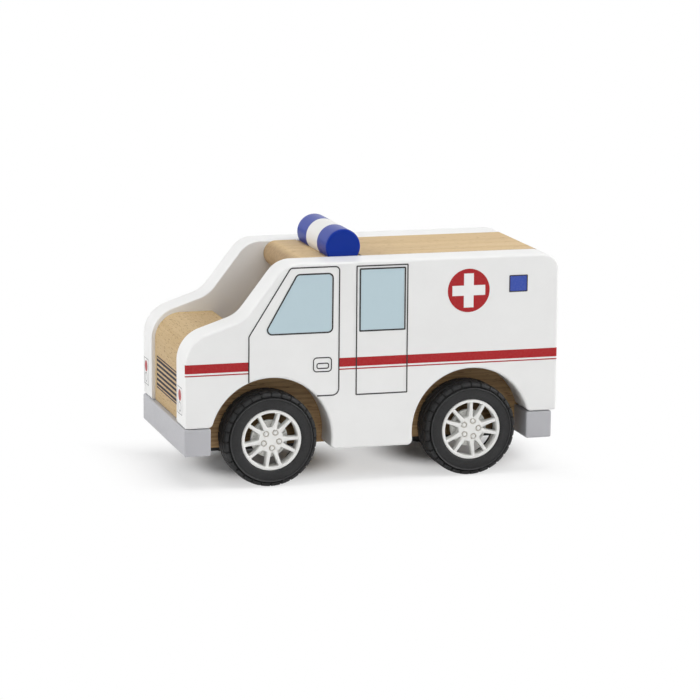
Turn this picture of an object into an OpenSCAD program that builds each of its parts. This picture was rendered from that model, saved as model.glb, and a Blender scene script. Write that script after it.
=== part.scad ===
// Wooden toy ambulance: white side panels on a beech core, with bumpers, a light bar and rolling wheels.
// +X points to the front, +Y to the toy's left and +Z up. The origin is on the floor below the middle.

/* [Overall] */
// Length from the front bumper to the rear edge of the side panels
toy_len = 130; // [115:0.5:150]
// Width over the outer walls of the tyres
toy_w = 64; // [61:0.5:72]
// Height of the roof above the floor
roof_z = 75; // [71:0.2:82]
// Height of the underside above the floor
belly_z = 11.7; // [11:0.1:13]

/* [Side panels] */
// Thickness of each side panel
panel_t = 12.4; // [11.8:0.1:13]
// How far the tyres stand out past the panels
wheel_proud = 0.5; // [0.2:0.1:1.5]
// Round-over of the panels' outer edges
edge_r = 0.8; // [0.5:0.1:1.7]
// Radius of the panels' corners beside the wheel arches
corner_r = 1.8; // [1.75:0.05:2.6]
// Radius of the panels' upper rear corner
tail_r = 5.5; // [3:0.1:9]
// Set-back of the panels' front edge behind the front bumper
front_set = 0.2; // [0:0.1:2]
// Height at which the bonnet line meets the front edge
nose_z = 50.2; // [47:0.1:53]
// Radius of the panels' front upper corner
nose_r = 11; // [6:0.5:14]
// Distance from the panels' front edge to the foot of the windscreen pillar
cowl_run = 20.2; // [17:0.1:23]
// Radius of the hollow between bonnet line and pillar
cowl_r = 11; // [6:0.5:13]
// Radius between pillar and roof
brow_r = 9.5; // [5:0.5:14]
// Rise of the bonnet line in degrees
bonnet_pitch = 18.6; // [15:0.1:22]
// Slope of the pillar in degrees
pillar_pitch = 52.4; // [48:0.1:58]
// Gap between the tyres' treads and the wheel arches
arch_gap = 4.8; // [4.3:0.1:5.3]
// Height of the arch centres above the axles
arch_lift = 0.2; // [0:0.1:1]

/* [Core] */
// Set-back of the core's front face behind the front bumper
core_front_set = 1.6; // [0.5:0.1:3]
// Set-back of the core's rear face from the rear edge of the panels
core_rear_set = 3; // [2:0.1:5]
// Length of the bonnet
bonnet_len = 20.5; // [17:0.1:23]
// Height of the bonnet above the floor
bonnet_z = 51.3; // [46:0.1:54]
// Radius of the bonnet's front corner
bonnet_r = 9; // [4:0.5:12]
// Length of the open cab behind the bonnet
cab_len = 31; // [26:0.1:31.5]
// Height of the cab floor above the floor
cab_z = 40; // [34:0.1:42]
// Radius of the cab's inner corners
cab_r = 5; // [2:0.5:5.5]
// Thickness of the roof over the cab, rounded at its front end
roof_t = 8.8; // [7:0.1:11]
// Distance from the bonnet's rear edge back to the front end of the roof
roof_back = 17.9; // [13:0.1:20]

/* [Bumpers] */
// Depth of each bumper from front to back
bumper_len = 9.1; // [8:0.1:9.5]
// Height of each bumper
bumper_h = 9.2; // [8:0.1:10]
// Round-over of the bumpers' edges
bumper_r = 0.9; // [0.4:0.1:1.5]
// Set-back of the rear bumper from the rear edge of the panels
rear_bumper_set = 1.6; // [0.6:0.1:2.4]

/* [Light bar] */
// Radius of the light bar
bar_r = 6; // [5:0.1:7]
// Distance from the roof's front end back to the light bar
bar_back = 17.8; // [14:0.1:24]
// Height of the light bar's axis above the roof
bar_rise = 3; // [2:0.1:4]
// Depth of the seat for the light bar in the roof
bar_seat = 0.4; // [0.2:0.1:1]
// Round-over of the light bar's ends
bar_edge_r = 0.7; // [0.3:0.1:1.2]

/* [Tyres] */
// Outer radius of the tyres
tyre_r = 16; // [15.5:0.1:16.5]
// Height of the tyres above the rim lip
tyre_h = 5.7; // [5.2:0.1:6.2]
// Gap between the tyres' inner walls and the core
wheel_gap = 0.9; // [0.7:0.1:1.4]
// Number of tread blocks around each shoulder
tread_count = 28; // [20:1:32]
// Depth of the tread
tread_depth = 0.5; // [0.3:0.1:1]
// Width of the gaps between tread blocks
tread_gap = 0.5; // [0.4:0.1:0.9]
// Distance from the front bumper's face to the front axle
front_overhang = 29.7; // [29.4:0.1:32]
// Distance from the rear axle to the rear edge of the panels
rear_overhang = 30.5; // [28.5:0.1:33]

/* [Rims] */
// Width of the rim lip
lip_w = 1.1; // [0.8:0.1:1.5]
// Set-back of the rim lip behind the tyre's outer wall
lip_set = 0.3; // [0.1:0.1:1.2]
// Wall of the rim's barrel
rim_wall = 0.9; // [0.7:0.1:1.3]
// Radius of the hub face
hub_r = 4.4; // [4:0.1:5]
// Number of spoke pairs
pair_count = 5; // [3:1:6]
// Width of a spoke at the hub
spoke_root_w = 1.6; // [1.2:0.1:2]
// Width of a spoke at the lip
spoke_tip_w = 1.1; // [0.8:0.1:1.6]
// Depth of a spoke
spoke_depth = 2.4; // [1.5:0.1:2.8]
// Angle between the spokes of a pair in degrees
pair_angle = 29; // [20:1:40]
// Turn of the front rims in degrees
front_turn = 23; // [0:1:71]
// Turn of the rear rims in degrees
rear_turn = 39; // [0:1:71]

/* [Brake discs] */
// Radius of the brake discs behind the spokes
disc_r = 6.3; // [5.7:0.1:7]
// Thickness of the brake discs
disc_t = 1.2; // [0.8:0.1:2]
// Distance from the rim lip's face to the brake disc
disc_set = 3.1; // [3:0.1:4]
// Number of slots in each group
slot_count = 3; // [1:1:4]

/* [Axles] */
// Radius of the steel axles
axle_r = 1.5; // [1.2:0.1:1.8]
// Radial running clearance of the axles in their boxes
run_clear = 0.05; // [0.02:0.01:0.1]
// Reach of the axle boxes ahead of the axle
box_front = 20; // [18.5:0.1:20.3]
// Reach of the axle boxes behind the axle
box_rear = 17; // [16.5:0.1:18]
// Width of the axle boxes' flange
box_w = 29; // [27:0.1:31]
// Thickness of the axle boxes' flange below the core
flange_t = 2.2; // [1.8:0.1:3]

/* [Hidden] */
$fn = 96;

// Cuts run past the faces that they open by this much
overrun = 1;
// Joined shapes of one moulding reach into each other by this much
weld = 0.3;
// Clearance all round pieces that drop into a pocket
pocket_clear = 0.3;
// Radial clearance of glued dowels, driven screws and pressed-on wheel parts
seat_clear = 0.02;
// Free length at the ends of glued dowels
glue_gap = 0.4;
// End float between wheel bosses and bearing tubes
end_float = 0.4;

// Main planes of the body
front_x = toy_len / 2;
rear_x = -toy_len / 2;
body_w = toy_w - 2 * wheel_proud;
core_w = body_w - 2 * panel_t;
panel_front_x = front_x - front_set;
bumper_z = belly_z + bumper_h;
core_front_x = front_x - core_front_set;
core_rear_x = rear_x + core_rear_set;
front_notch_x = front_x - bumper_len;
rear_notch_x = rear_x + rear_bumper_set + bumper_len;
bonnet_rear_x = core_front_x - bonnet_len;
cab_rear_x = bonnet_rear_x - cab_len;
roof_nose_x = bonnet_rear_x - roof_back;
bar_x = roof_nose_x - bar_back;
front_axle_x = front_x - front_overhang;
rear_axle_x = rear_x + rear_overhang;
axle_z = tyre_r;
rim_r = tyre_r - tyre_h;
arch_z = axle_z + arch_lift;
arch_r = tyre_r + arch_gap;
tyre_w = panel_t + wheel_proud - wheel_gap;
wheel_y = core_w / 2 + wheel_gap;

// Panel outline: steps along an arc, rings across the round-over, and the corners above the bumpers
arc_step = 9;
heel_over = 0.1;
heel_r = edge_r + heel_over;
edge_steps = 4;
bonnet_n = [sin(bonnet_pitch), cos(bonnet_pitch)];
pillar_n = [sin(pillar_pitch), cos(pillar_pitch)];
roof_n = [0, 1];
cowl_p = [panel_front_x - cowl_run, nose_z + cowl_run * tan(bonnet_pitch)];
brow_p = [cowl_p.x - (roof_z - cowl_p.y) / tan(pillar_pitch), roof_z];
nose_c = [panel_front_x - nose_r, nose_z - nose_r * (1 - bonnet_n.x) / bonnet_n.y];
cowl_c = cowl_p + cowl_r * (bonnet_n + pillar_n) / (1 + bonnet_n * pillar_n);
brow_c = brow_p - brow_r * (pillar_n + roof_n) / (1 + pillar_n * roof_n);

// Dowels: radius, reach into each piece, and places as shares of the half length and the roof height
dowel_r = 3;
dowel_reach = 8;
dowel_x_shares = [0.8, -0.08, -0.8];
dowel_z_shares = [0.52, 0.5, 0.74];
bumper_dowel_r = 2;
bumper_dowel_reach = 5.5;
bumper_dowel_pitch = 20;
bar_dowel_r = 1.6;
bar_dowel_reach = 5;
bar_dowel_pitch = 18;
bar_gap = 0.3;
bar_len = core_w - 2 * bar_gap;
bar_seat_half = bar_r + pocket_clear;

// Tyre section: shares of the height from bore to tread, and of the half width, from wall to crown,
// and the hollow behind the rim
barrel_r = rim_r - weld;
tyre_bore_r = barrel_r + seat_clear;
tyre_shares = [
    [0.08, 0.96], [0.34, 1], [0.62, 0.965], [0.655, 1], [0.705, 0.995], [0.735, 0.925],
    [0.77, 0.915], [0.91, 0.86], [0.97, 0.77], [1, 0.66]
];
groove_shares = [0.32, 0.2];
tread_in_share = 0.34;
tread_foot_share = 0.775;
tread_side_share = 0.82;
hollow_over = 1.3;
hollow_r = rim_r + hollow_over;

// Rim: planes counted outwards from the tyre's inner wall
rim_face_z = tyre_w - lip_set;
lip_t = 1;
lip_r = 0.35;
rim_depth = 4.3;
rim_back = rim_face_z - rim_depth;
hub_set = 0.5;
spoke_set = 0.25;
hub_face_z = rim_face_z - hub_set;
disc_face_z = rim_face_z - disc_set;
boss_r = 3;
boss_back = end_float - wheel_gap;
lug_margin = 1.5;
lug_ring_r = hub_r - lug_margin;
lug_recess_r = 1.1;
lug_recess_depth = 0.4;
lug_nut_r = 0.65;
slot_w = 0.5;
slot_len = 1.1;
slot_out_r = disc_r - slot_w;
slot_in_r = slot_out_r - slot_len;
slot_angle = 12;

// Axle boxes: body in the core's pocket, bearing tubes through its side walls, flange below
box_body_len = 15;
box_body_w = 24;
box_body_rise = 3.6;
tube_r = 2.7;
flange_slope = 3;
flange_r = 4;
axle_end_chamfer = 0.4;
axle_half = wheel_y + disc_face_z - glue_gap;

// Screws of the axle boxes
screw_in = 6;
screw_r = 1.3;
screw_len = 9;
screw_head_r = 2.3;
screw_head_h = 1.3;
screw_clear = 0.2;
drive_w = 0.6;
drive_len = 2.6;
drive_depth = 0.7;

// Points of an arc from angle a to angle b about the centre c, from its point number first on
function arc_points(c, r, a, b, first) =
    let (n = ceil(abs(b - a) / arc_step))
    [for (i = [first : n]) c + r * [cos(a + (b - a) * i / n), sin(a + (b - a) * i / n)]];

// Centre of a corner on the level line z, outside the arch about x, on its front (side 1) or rear (-1) flank
function arch_corner(x, z, side) =
    [x + side * sqrt((arch_r + corner_r) ^ 2 - (z + corner_r - arch_z) ^ 2), z + corner_r];

// Direction from p to q in degrees, between low and low + 360
function heading(p, q, low) =
    let (a = atan2(q.y - p.y, q.x - p.x)) a < low ? a + 360 : a;

// The rear corner, hollow and front corner of one wheel arch, as [centre, radius, from, to, turn, first].
// The last two start where the arc before them ends, so they leave out their own first point.
function arch_arcs(x, rear_z, front_z) =
    let (c = [x, arch_z], p = arch_corner(x, rear_z, -1), q = arch_corner(x, front_z, 1))
    [
        [p, corner_r, -90, heading(p, c, -90), 1, 0],
        [c, arch_r, heading(c, p, 90), heading(c, q, -90), -1, 1],
        [q, corner_r, heading(q, c, 90), 270, 1, 1]
    ];

// The panel outline is a run of arcs joined by straight lines. turn is 1 on outer corners, -1 on hollows
panel_arcs = [
    [[panel_front_x - heel_r, bumper_z + heel_r], heel_r, -90, 0, 1, 0],
    [nose_c, nose_r, 0, 90 - bonnet_pitch, 1, 0],
    [cowl_c, cowl_r, 270 - bonnet_pitch, 270 - pillar_pitch, -1, 0],
    [brow_c, brow_r, 90 - pillar_pitch, 90, 1, 0],
    [[rear_x + tail_r, roof_z - tail_r], tail_r, 90, 180, 1, 0],
    [[rear_x + heel_r, bumper_z + heel_r], heel_r, 180, 270, 1, 0],
    each arch_arcs(rear_axle_x, bumper_z, belly_z),
    each arch_arcs(front_axle_x, belly_z, bumper_z)
];

// The outline drawn in by a distance: outer corners lose it from their radius and hollows gain it
function panel_ring(inset) =
    [for (k = panel_arcs) each arc_points(k[0], k[1] - k[4] * inset, k[2], k[3], k[5])];

// Twice the signed area of a triangle, positive where it turns left
function turn_of(a, b, c) = (b.x - a.x) * (c.y - b.y) - (b.y - a.y) * (c.x - b.x);

// Whether the left-turning triangle a, b, c holds the point p
function holds(a, b, c, p) = turn_of(a, b, p) >= 0 && turn_of(b, c, p) >= 0 && turn_of(c, a, p) >= 0;

// The corner of the outline at place i: the numbers of its points
function corner_at(v, i) = [v[(i + len(v) - 1) % len(v)], v[i], v[(i + 1) % len(v)]];

// Whether the corner t of the outline v turns left and holds none of the outline's other points
function is_ear(p, v, t) =
    turn_of(p[t[0]], p[t[1]], p[t[2]]) > 0 &&
    len([for (k = v) if (len(search(k, t)) == 0 && holds(p[t[0]], p[t[1]], p[t[2]], p[k])) k]) == 0;

// Place of the first ear of the outline v, from place i on
function first_ear(p, v, i = 0) = is_ear(p, v, corner_at(v, i)) ? i : first_ear(p, v, i + 1);

// Triangles that fill the outline v of points p, cut off ear by ear
function fill(p, v) =
    len(v) < 4 ? [v] :
    let (i = first_ear(p, v))
    concat([corner_at(v, i)], fill(p, [for (k = [0 : len(v) - 1]) if (k != i) v[k]]));

// The left panel as a loft of outlines from its inner face to the end of the round-over
module panel_loft() {
    sweeps = [for (i = [0 : edge_steps]) 90 * i / edge_steps];
    levels = [
        [0, core_w / 2],
        for (t = sweeps) [edge_r * (1 - cos(t)), body_w / 2 - edge_r * (1 - sin(t))]
    ];
    rings = [for (v = levels) [for (p = panel_ring(v[0])) [p.x, v[1], p.y]]];
    n = len(rings[0]);
    last = len(rings) - 1;
    sides = [
        for (i = [0 : last - 1], j = [0 : n - 1])
            let (a = i * n + j, b = i * n + (j + 1) % n)
            each [[a, b, b + n], [a, b + n, a + n]]
    ];
    order = [for (j = [0 : n - 1]) j];
    inner_cap = [for (t = fill(panel_ring(0), order)) [t[2], t[1], t[0]]];
    outer_cap = [for (t = fill(panel_ring(edge_r), order)) [for (j = t) last * n + j]];
    polyhedron([for (r = rings) each r], concat(sides, inner_cap, outer_cap));
}

// A cylinder along Y from y = from to y = to
module y_cylinder(r, from, to) {
    translate([0, from, 0]) rotate([-90, 0, 0]) cylinder(r = r, h = to - from);
}

// A cylinder along X from x = from to x = to
module x_cylinder(r, from, to) {
    translate([from, 0, 0]) rotate([0, 90, 0]) cylinder(r = r, h = to - from);
}

// A block between two opposite corners
module block(low, high) {
    translate(low) cube(high - low);
}

// Puts its children at the panel dowels of one side
module at_panel_dowels(side) {
    for (i = [0 : len(dowel_x_shares) - 1])
        translate([dowel_x_shares[i] * toy_len / 2, side * core_w / 2, dowel_z_shares[i] * roof_z])
            children();
}

// Puts its children at the dowels of one bumper, on the notch face at x
module at_bumper_dowels(x) {
    for (side = [-1, 1])
        translate([x, side * bumper_dowel_pitch / 2, belly_z + bumper_h / 2]) children();
}

// Puts its children at the dowels of the light bar, on the floor of its seat
module at_bar_dowels() {
    for (side = [-1, 1])
        translate([bar_x, side * bar_dowel_pitch / 2, roof_z - bar_seat]) children();
}

// Puts its children at the two screws of one axle box, on the flange's lower face
module at_screws(axle_x) {
    for (x = [axle_x + box_front - screw_in, axle_x - box_rear + screw_in])
        translate([x, 0, belly_z - flange_t]) children();
}

// Quarter-round cut across the core, with its round centre at x, z and the corner to the front and up
module bonnet_corner_cut(x, z, r) {
    difference() {
        block([x, -core_w / 2 - overrun, z], [x + r + overrun, core_w / 2 + overrun, z + r + overrun]);
        translate([x, 0, z]) y_cylinder(r, -core_w / 2 - 2 * overrun, core_w / 2 + 2 * overrun);
    }
}

// The cab's hollow across the core, with rounded inner corners at its floor and under the roof
module cab_cut() {
    y0 = -core_w / 2 - overrun;
    y1 = core_w / 2 + overrun;
    top_z = roof_z - roof_t;
    block([cab_rear_x, y0, cab_z + cab_r], [bonnet_rear_x, y1, top_z - cab_r]);
    block([cab_rear_x + cab_r, y0, cab_z], [bonnet_rear_x - cab_r, y1, top_z]);
    block([bonnet_rear_x - cab_r, y0, top_z - cab_r - overrun], [bonnet_rear_x, y1, top_z]);
    for (x = [cab_rear_x + cab_r, bonnet_rear_x - cab_r])
        translate([x, 0, cab_z + cab_r]) y_cylinder(cab_r, y0, y1);
    translate([cab_rear_x + cab_r, 0, top_z - cab_r]) y_cylinder(cab_r, y0, y1);
}

// Room above the bonnet and in front of the roof's rounded end
module bonnet_room() {
    y0 = -core_w / 2 - overrun;
    y1 = core_w / 2 + overrun;
    roof_mid = roof_nose_x - roof_t / 2;
    block([bonnet_rear_x - overrun, y0, bonnet_z], [core_front_x + overrun, y1, roof_z + overrun]);
    difference() {
        block([roof_mid, y0, roof_z - roof_t - overrun], [bonnet_rear_x + overrun, y1, roof_z + overrun]);
        translate([roof_mid, 0, roof_z - roof_t / 2]) y_cylinder(roof_t / 2, y0 - overrun, y1 + overrun);
    }
}

// Pocket for one axle box, with slots in the side walls for its bearing tubes
module box_pocket() {
    half_x = box_body_len / 2 + pocket_clear;
    half_y = box_body_w / 2 + pocket_clear;
    slot_r = tube_r + pocket_clear;
    half_w = core_w / 2 + overrun;
    block([-half_x, -half_y, belly_z - overrun], [half_x, half_y, axle_z + box_body_rise + pocket_clear]);
    block([-slot_r, -half_w, belly_z - overrun], [slot_r, half_w, axle_z]);
    translate([0, 0, axle_z]) y_cylinder(slot_r, -half_w, half_w);
}

module core_block() {
    color([0.83, 0.73, 0.57])
    difference() {
        block([core_rear_x, -core_w / 2, belly_z], [core_front_x, core_w / 2, roof_z]);
        block([front_notch_x, -core_w, belly_z - overrun], [front_x + overrun, core_w, bumper_z]);
        block([rear_x - overrun, -core_w, belly_z - overrun], [rear_notch_x, core_w, bumper_z]);
        bonnet_room();
        bonnet_corner_cut(core_front_x - bonnet_r, bonnet_z - bonnet_r, bonnet_r);
        cab_cut();
        block([bar_x - bar_seat_half, -core_w, roof_z - bar_seat],
            [bar_x + bar_seat_half, core_w, roof_z + overrun]);
        for (x = [front_axle_x, rear_axle_x]) {
            translate([x, 0, 0]) box_pocket();
            at_screws(x) cylinder(r = screw_r + seat_clear, h = screw_len + glue_gap);
        }
        for (side = [-1, 1])
            at_panel_dowels(side)
                y_cylinder(dowel_r + seat_clear, -dowel_reach - glue_gap, dowel_reach + glue_gap);
        at_bumper_dowels(front_notch_x)
            x_cylinder(bumper_dowel_r + seat_clear, -bumper_dowel_reach - glue_gap, overrun);
        at_bumper_dowels(rear_notch_x)
            x_cylinder(bumper_dowel_r + seat_clear, -overrun, bumper_dowel_reach + glue_gap);
        at_bar_dowels()
            translate([0, 0, -bar_dowel_reach - glue_gap])
                cylinder(r = bar_dowel_r + seat_clear, h = bar_dowel_reach + glue_gap + overrun);
    }
}

// One side panel with its dowel holes, built on the left
module side_panel() {
    difference() {
        panel_loft();
        at_panel_dowels(1) y_cylinder(dowel_r + seat_clear, -overrun, dowel_reach + glue_gap);
    }
}

module side_panel_left() {
    color([0.92, 0.92, 0.91]) side_panel();
}

module side_panel_right() {
    color([0.92, 0.92, 0.91]) mirror([0, 1, 0]) side_panel();
}

// Cross-section of a bar with rounded edges, centred
module rounded_section(w, h, r) {
    square([w - 2 * r, h], center = true);
    square([w, h - 2 * r], center = true);
    for (x = [-1, 1], y = [-1, 1])
        translate([x * (w / 2 - r), y * (h / 2 - r)]) circle(r = r);
}

// A bar across the toy with every edge rounded: its three rounded outlines, each extruded, have it in common
module bumper_bar() {
    intersection() {
        rotate([90, 0, 0])
            linear_extrude(body_w, center = true) rounded_section(bumper_len, bumper_h, bumper_r);
        linear_extrude(bumper_h + overrun, center = true) rounded_section(bumper_len, body_w, bumper_r);
        rotate([0, 90, 0])
            linear_extrude(bumper_len + overrun, center = true) rounded_section(bumper_h, body_w, bumper_r);
    }
}

module front_bumper() {
    color([0.7, 0.7, 0.71])
    difference() {
        translate([front_x - bumper_len / 2, 0, belly_z + bumper_h / 2]) bumper_bar();
        at_bumper_dowels(front_notch_x)
            x_cylinder(bumper_dowel_r + seat_clear, -overrun, bumper_dowel_reach + glue_gap);
    }
}

module rear_bumper() {
    color([0.7, 0.7, 0.71])
    difference() {
        translate([rear_notch_x - bumper_len / 2, 0, belly_z + bumper_h / 2]) bumper_bar();
        at_bumper_dowels(rear_notch_x)
            x_cylinder(bumper_dowel_r + seat_clear, -bumper_dowel_reach - glue_gap, overrun);
    }
}

// The light bar is a turned dowel with rounded ends, planed flat where it sits in the roof
module light_bar() {
    color([0.13, 0.22, 0.58])
    difference() {
        translate([bar_x, 0, roof_z + bar_rise])
        rotate([-90, 0, 0])
        rotate_extrude()
        union() {
            translate([0, -bar_len / 2]) square([bar_r - bar_edge_r, bar_len]);
            translate([0, -bar_len / 2 + bar_edge_r]) square([bar_r, bar_len - 2 * bar_edge_r]);
            for (side = [-1, 1])
                translate([bar_r - bar_edge_r, side * (bar_len / 2 - bar_edge_r)]) circle(r = bar_edge_r);
        }
        block([bar_x - bar_r - overrun, -core_w, roof_z - bar_r],
            [bar_x + bar_r + overrun, core_w, roof_z - bar_seat]);
        at_bar_dowels()
            translate([0, 0, -overrun])
                cylinder(r = bar_dowel_r + seat_clear, h = bar_dowel_reach + glue_gap + overrun);
    }
}

module panel_dowels() {
    color([0.8, 0.69, 0.52])
    for (side = [-1, 1])
        at_panel_dowels(side) y_cylinder(dowel_r, -dowel_reach, dowel_reach);
}

module bumper_dowels() {
    color([0.8, 0.69, 0.52])
    for (x = [front_notch_x, rear_notch_x])
        at_bumper_dowels(x) x_cylinder(bumper_dowel_r, -bumper_dowel_reach, bumper_dowel_reach);
}

module light_bar_dowels() {
    color([0.8, 0.69, 0.52])
    at_bar_dowels()
        translate([0, 0, -bar_dowel_reach]) cylinder(r = bar_dowel_r, h = 2 * bar_dowel_reach);
}

// One axle box about an axle at x = 0: flange with sloped ends, body, bearing tubes, bore and screw holes
module axle_box() {
    difference() {
        union() {
            intersection() {
                rotate([90, 0, 0])
                    linear_extrude(box_w, center = true)
                        polygon([
                            [-box_rear, belly_z], [-box_rear + flange_slope, belly_z - flange_t],
                            [box_front - flange_slope, belly_z - flange_t], [box_front, belly_z]
                        ]);
                translate([(box_front - box_rear) / 2, 0, belly_z - flange_t - overrun])
                    linear_extrude(flange_t + 2 * overrun)
                        rounded_section(box_front + box_rear, box_w, flange_r);
            }
            block([-box_body_len / 2, -box_body_w / 2, belly_z - weld],
                [box_body_len / 2, box_body_w / 2, axle_z + box_body_rise]);
            translate([0, 0, axle_z]) y_cylinder(tube_r, -core_w / 2, core_w / 2);
        }
        translate([0, 0, axle_z]) y_cylinder(axle_r + run_clear, -core_w, core_w);
        at_screws(0) {
            translate([0, 0, -overrun]) cylinder(r = screw_r + screw_clear, h = flange_t + 2 * overrun);
            cylinder(r1 = screw_head_r + screw_clear, r2 = screw_r + screw_clear, h = screw_head_h);
        }
    }
}

module front_axle_box() {
    color([0.1, 0.1, 0.1]) translate([front_axle_x, 0, 0]) axle_box();
}

module rear_axle_box() {
    color([0.1, 0.1, 0.1]) translate([rear_axle_x, 0, 0]) axle_box();
}

// A countersunk screw with a cross drive, head at z = 0, pointing up
module screw() {
    difference() {
        union() {
            cylinder(r1 = screw_head_r, r2 = screw_r, h = screw_head_h);
            cylinder(r = screw_r, h = screw_len);
        }
        for (turn = [0, 90])
            rotate(turn)
                block([-drive_len / 2, -drive_w / 2, -overrun], [drive_len / 2, drive_w / 2, drive_depth]);
    }
}

module axle_box_screws() {
    color([0.75, 0.75, 0.76])
    for (x = [front_axle_x, rear_axle_x]) at_screws(x) screw();
}

// Steel axle across the toy at x, chamfered at both ends
module axle(x) {
    color([0.78, 0.78, 0.8])
    translate([x, 0, axle_z])
    rotate([-90, 0, 0])
    rotate_extrude()
    polygon([
        [0, -axle_half], [axle_r - axle_end_chamfer, -axle_half], [axle_r, axle_end_chamfer - axle_half],
        [axle_r, axle_half - axle_end_chamfer], [axle_r - axle_end_chamfer, axle_half], [0, axle_half]
    ]);
}

// Puts a wheel part, drawn with z outwards from the tyre's inner wall, on one side (1 left, -1 right)
module on_axle(x, side) {
    translate([x, side * wheel_y, axle_z]) rotate([-90 * side, 0, 0]) children();
}

// Half of the tyre's section, from the bore over the shoulder to the crown. The outer half (side 1)
// starts with the bead behind the rim lip, the inner half (side -1) with the step up to the hollow
function tyre_side(side) =
    let (
        height = tyre_r - tyre_bore_r,
        seat_z = side > 0 ? rim_face_z - lip_t - seat_clear : rim_back,
        seat_r = side > 0 ? rim_r + seat_clear : hollow_r,
        walls = [
            for (s = tyre_shares)
                [max(seat_r, tyre_bore_r + s[0] * height), tyre_w / 2 * (1 + side * s[1])]
        ],
        grooves = [for (g = groove_shares) tyre_w / 2 * (1 + side * g)]
    )
    concat([[tyre_bore_r, seat_z], [seat_r, seat_z]], walls, [
        [tyre_r, grooves[0]], [tyre_r - tread_depth, grooves[0]],
        [tyre_r - tread_depth, grooves[1]], [tyre_r, grooves[1]]
    ]);

// A list from its end to its start
function backwards(v) = [for (i = [len(v) - 1 : -1 : 0]) v[i]];

// Cutter for one gap between the tread blocks of the outer shoulder
module tread_cutter() {
    height = tyre_r - tyre_bore_r;
    foot_r = tyre_bore_r + tread_foot_share * height;
    rotate([90, 0, 0])
        linear_extrude(tread_gap, center = true)
            polygon([
                [tyre_r - tread_depth, tyre_w / 2 * (1 + tread_in_share)],
                [tyre_r + overrun, tyre_w / 2 * (1 + tread_in_share)],
                [tyre_r + overrun, tyre_w + overrun], [foot_r, tyre_w + overrun],
                [foot_r, tyre_w / 2 * (1 + tread_side_share)]
            ]);
}

module tyre() {
    color([0.12, 0.12, 0.12])
    difference() {
        rotate_extrude() polygon(concat(tyre_side(1), backwards(tyre_side(-1))));
        for (i = [0 : tread_count - 1]) {
            rotate(360 * i / tread_count) tread_cutter();
            rotate(360 * (i + 1 / 2) / tread_count)
                translate([0, 0, tyre_w]) mirror([0, 0, 1]) tread_cutter();
        }
    }
}

// One spoke along +X from hub to lip
module spoke() {
    tip_r = rim_r - lip_w + weld;
    translate([0, 0, rim_face_z - spoke_set - spoke_depth])
        linear_extrude(spoke_depth)
            polygon([
                [hub_r - weld, -spoke_root_w / 2], [tip_r, -spoke_tip_w / 2],
                [tip_r, spoke_tip_w / 2], [hub_r - weld, spoke_root_w / 2]
            ]);
}

// Barrel and lip of the rim in one section
module rim_shell() {
    inner_r = rim_r - lip_w;
    rotate_extrude()
        polygon([
            [barrel_r - rim_wall, rim_back], [barrel_r, rim_back], [barrel_r, rim_face_z - lip_t],
            [rim_r, rim_face_z - lip_t], [rim_r, rim_face_z - lip_r], [rim_r - lip_r, rim_face_z],
            [inner_r + lip_r, rim_face_z], [inner_r, rim_face_z - lip_r], [inner_r, rim_face_z - lip_t]
        ]);
}

// A moulded rim: shell, spoke pairs, hub with lug nuts in their recesses, and a boss bored for the axle
module rim(turn) {
    color([0.9, 0.9, 0.88])
    rotate(turn) {
        difference() {
            union() {
                rim_shell();
                for (i = [0 : pair_count - 1], half = [-1, 1])
                    rotate(360 * i / pair_count + half * pair_angle / 2) spoke();
                translate([0, 0, disc_face_z]) cylinder(r = hub_r, h = hub_face_z - disc_face_z);
                translate([0, 0, boss_back]) cylinder(r = boss_r, h = disc_face_z - boss_back + weld);
            }
            translate([0, 0, boss_back - overrun])
                cylinder(r = axle_r + seat_clear, h = disc_face_z - boss_back + overrun);
            for (i = [0 : pair_count - 1])
                rotate(360 * i / pair_count)
                    translate([lug_ring_r, 0, hub_face_z - lug_recess_depth])
                        cylinder(r = lug_recess_r, h = lug_recess_depth + overrun);
        }
        for (i = [0 : pair_count - 1])
            rotate(360 * i / pair_count)
                translate([lug_ring_r, 0, hub_face_z - lug_recess_depth - weld])
                    cylinder(r = lug_nut_r, h = lug_recess_depth + weld);
    }
}

// A slotted disc pushed onto the boss from behind, up to the hub
module disc(turn) {
    color([0.8, 0.8, 0.78])
    rotate(turn)
    translate([0, 0, disc_face_z - disc_t])
    difference() {
        cylinder(r = disc_r, h = disc_t);
        translate([0, 0, -overrun]) cylinder(r = boss_r + seat_clear, h = disc_t + 2 * overrun);
        for (i = [0 : pair_count - 1], k = [0 : slot_count - 1])
            rotate(360 * (i + 1 / 2) / pair_count + slot_angle * (k - (slot_count - 1) / 2))
                block([slot_in_r, -slot_w / 2, -overrun], [slot_out_r, slot_w / 2, disc_t + overrun]);
    }
}

module front_axle() { axle(front_axle_x); }
module front_left_rim() { on_axle(front_axle_x, 1) rim(front_turn); }
module front_right_rim() { on_axle(front_axle_x, -1) rim(front_turn); }
module front_left_tyre() { on_axle(front_axle_x, 1) tyre(); }
module front_right_tyre() { on_axle(front_axle_x, -1) tyre(); }
module front_left_disc() { on_axle(front_axle_x, 1) disc(front_turn); }
module front_right_disc() { on_axle(front_axle_x, -1) disc(front_turn); }
module rear_axle() { axle(rear_axle_x); }
module rear_left_rim() { on_axle(rear_axle_x, 1) rim(rear_turn); }
module rear_right_rim() { on_axle(rear_axle_x, -1) rim(rear_turn); }
module rear_left_tyre() { on_axle(rear_axle_x, 1) tyre(); }
module rear_right_tyre() { on_axle(rear_axle_x, -1) tyre(); }
module rear_left_disc() { on_axle(rear_axle_x, 1) disc(rear_turn); }
module rear_right_disc() { on_axle(rear_axle_x, -1) disc(rear_turn); }

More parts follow.
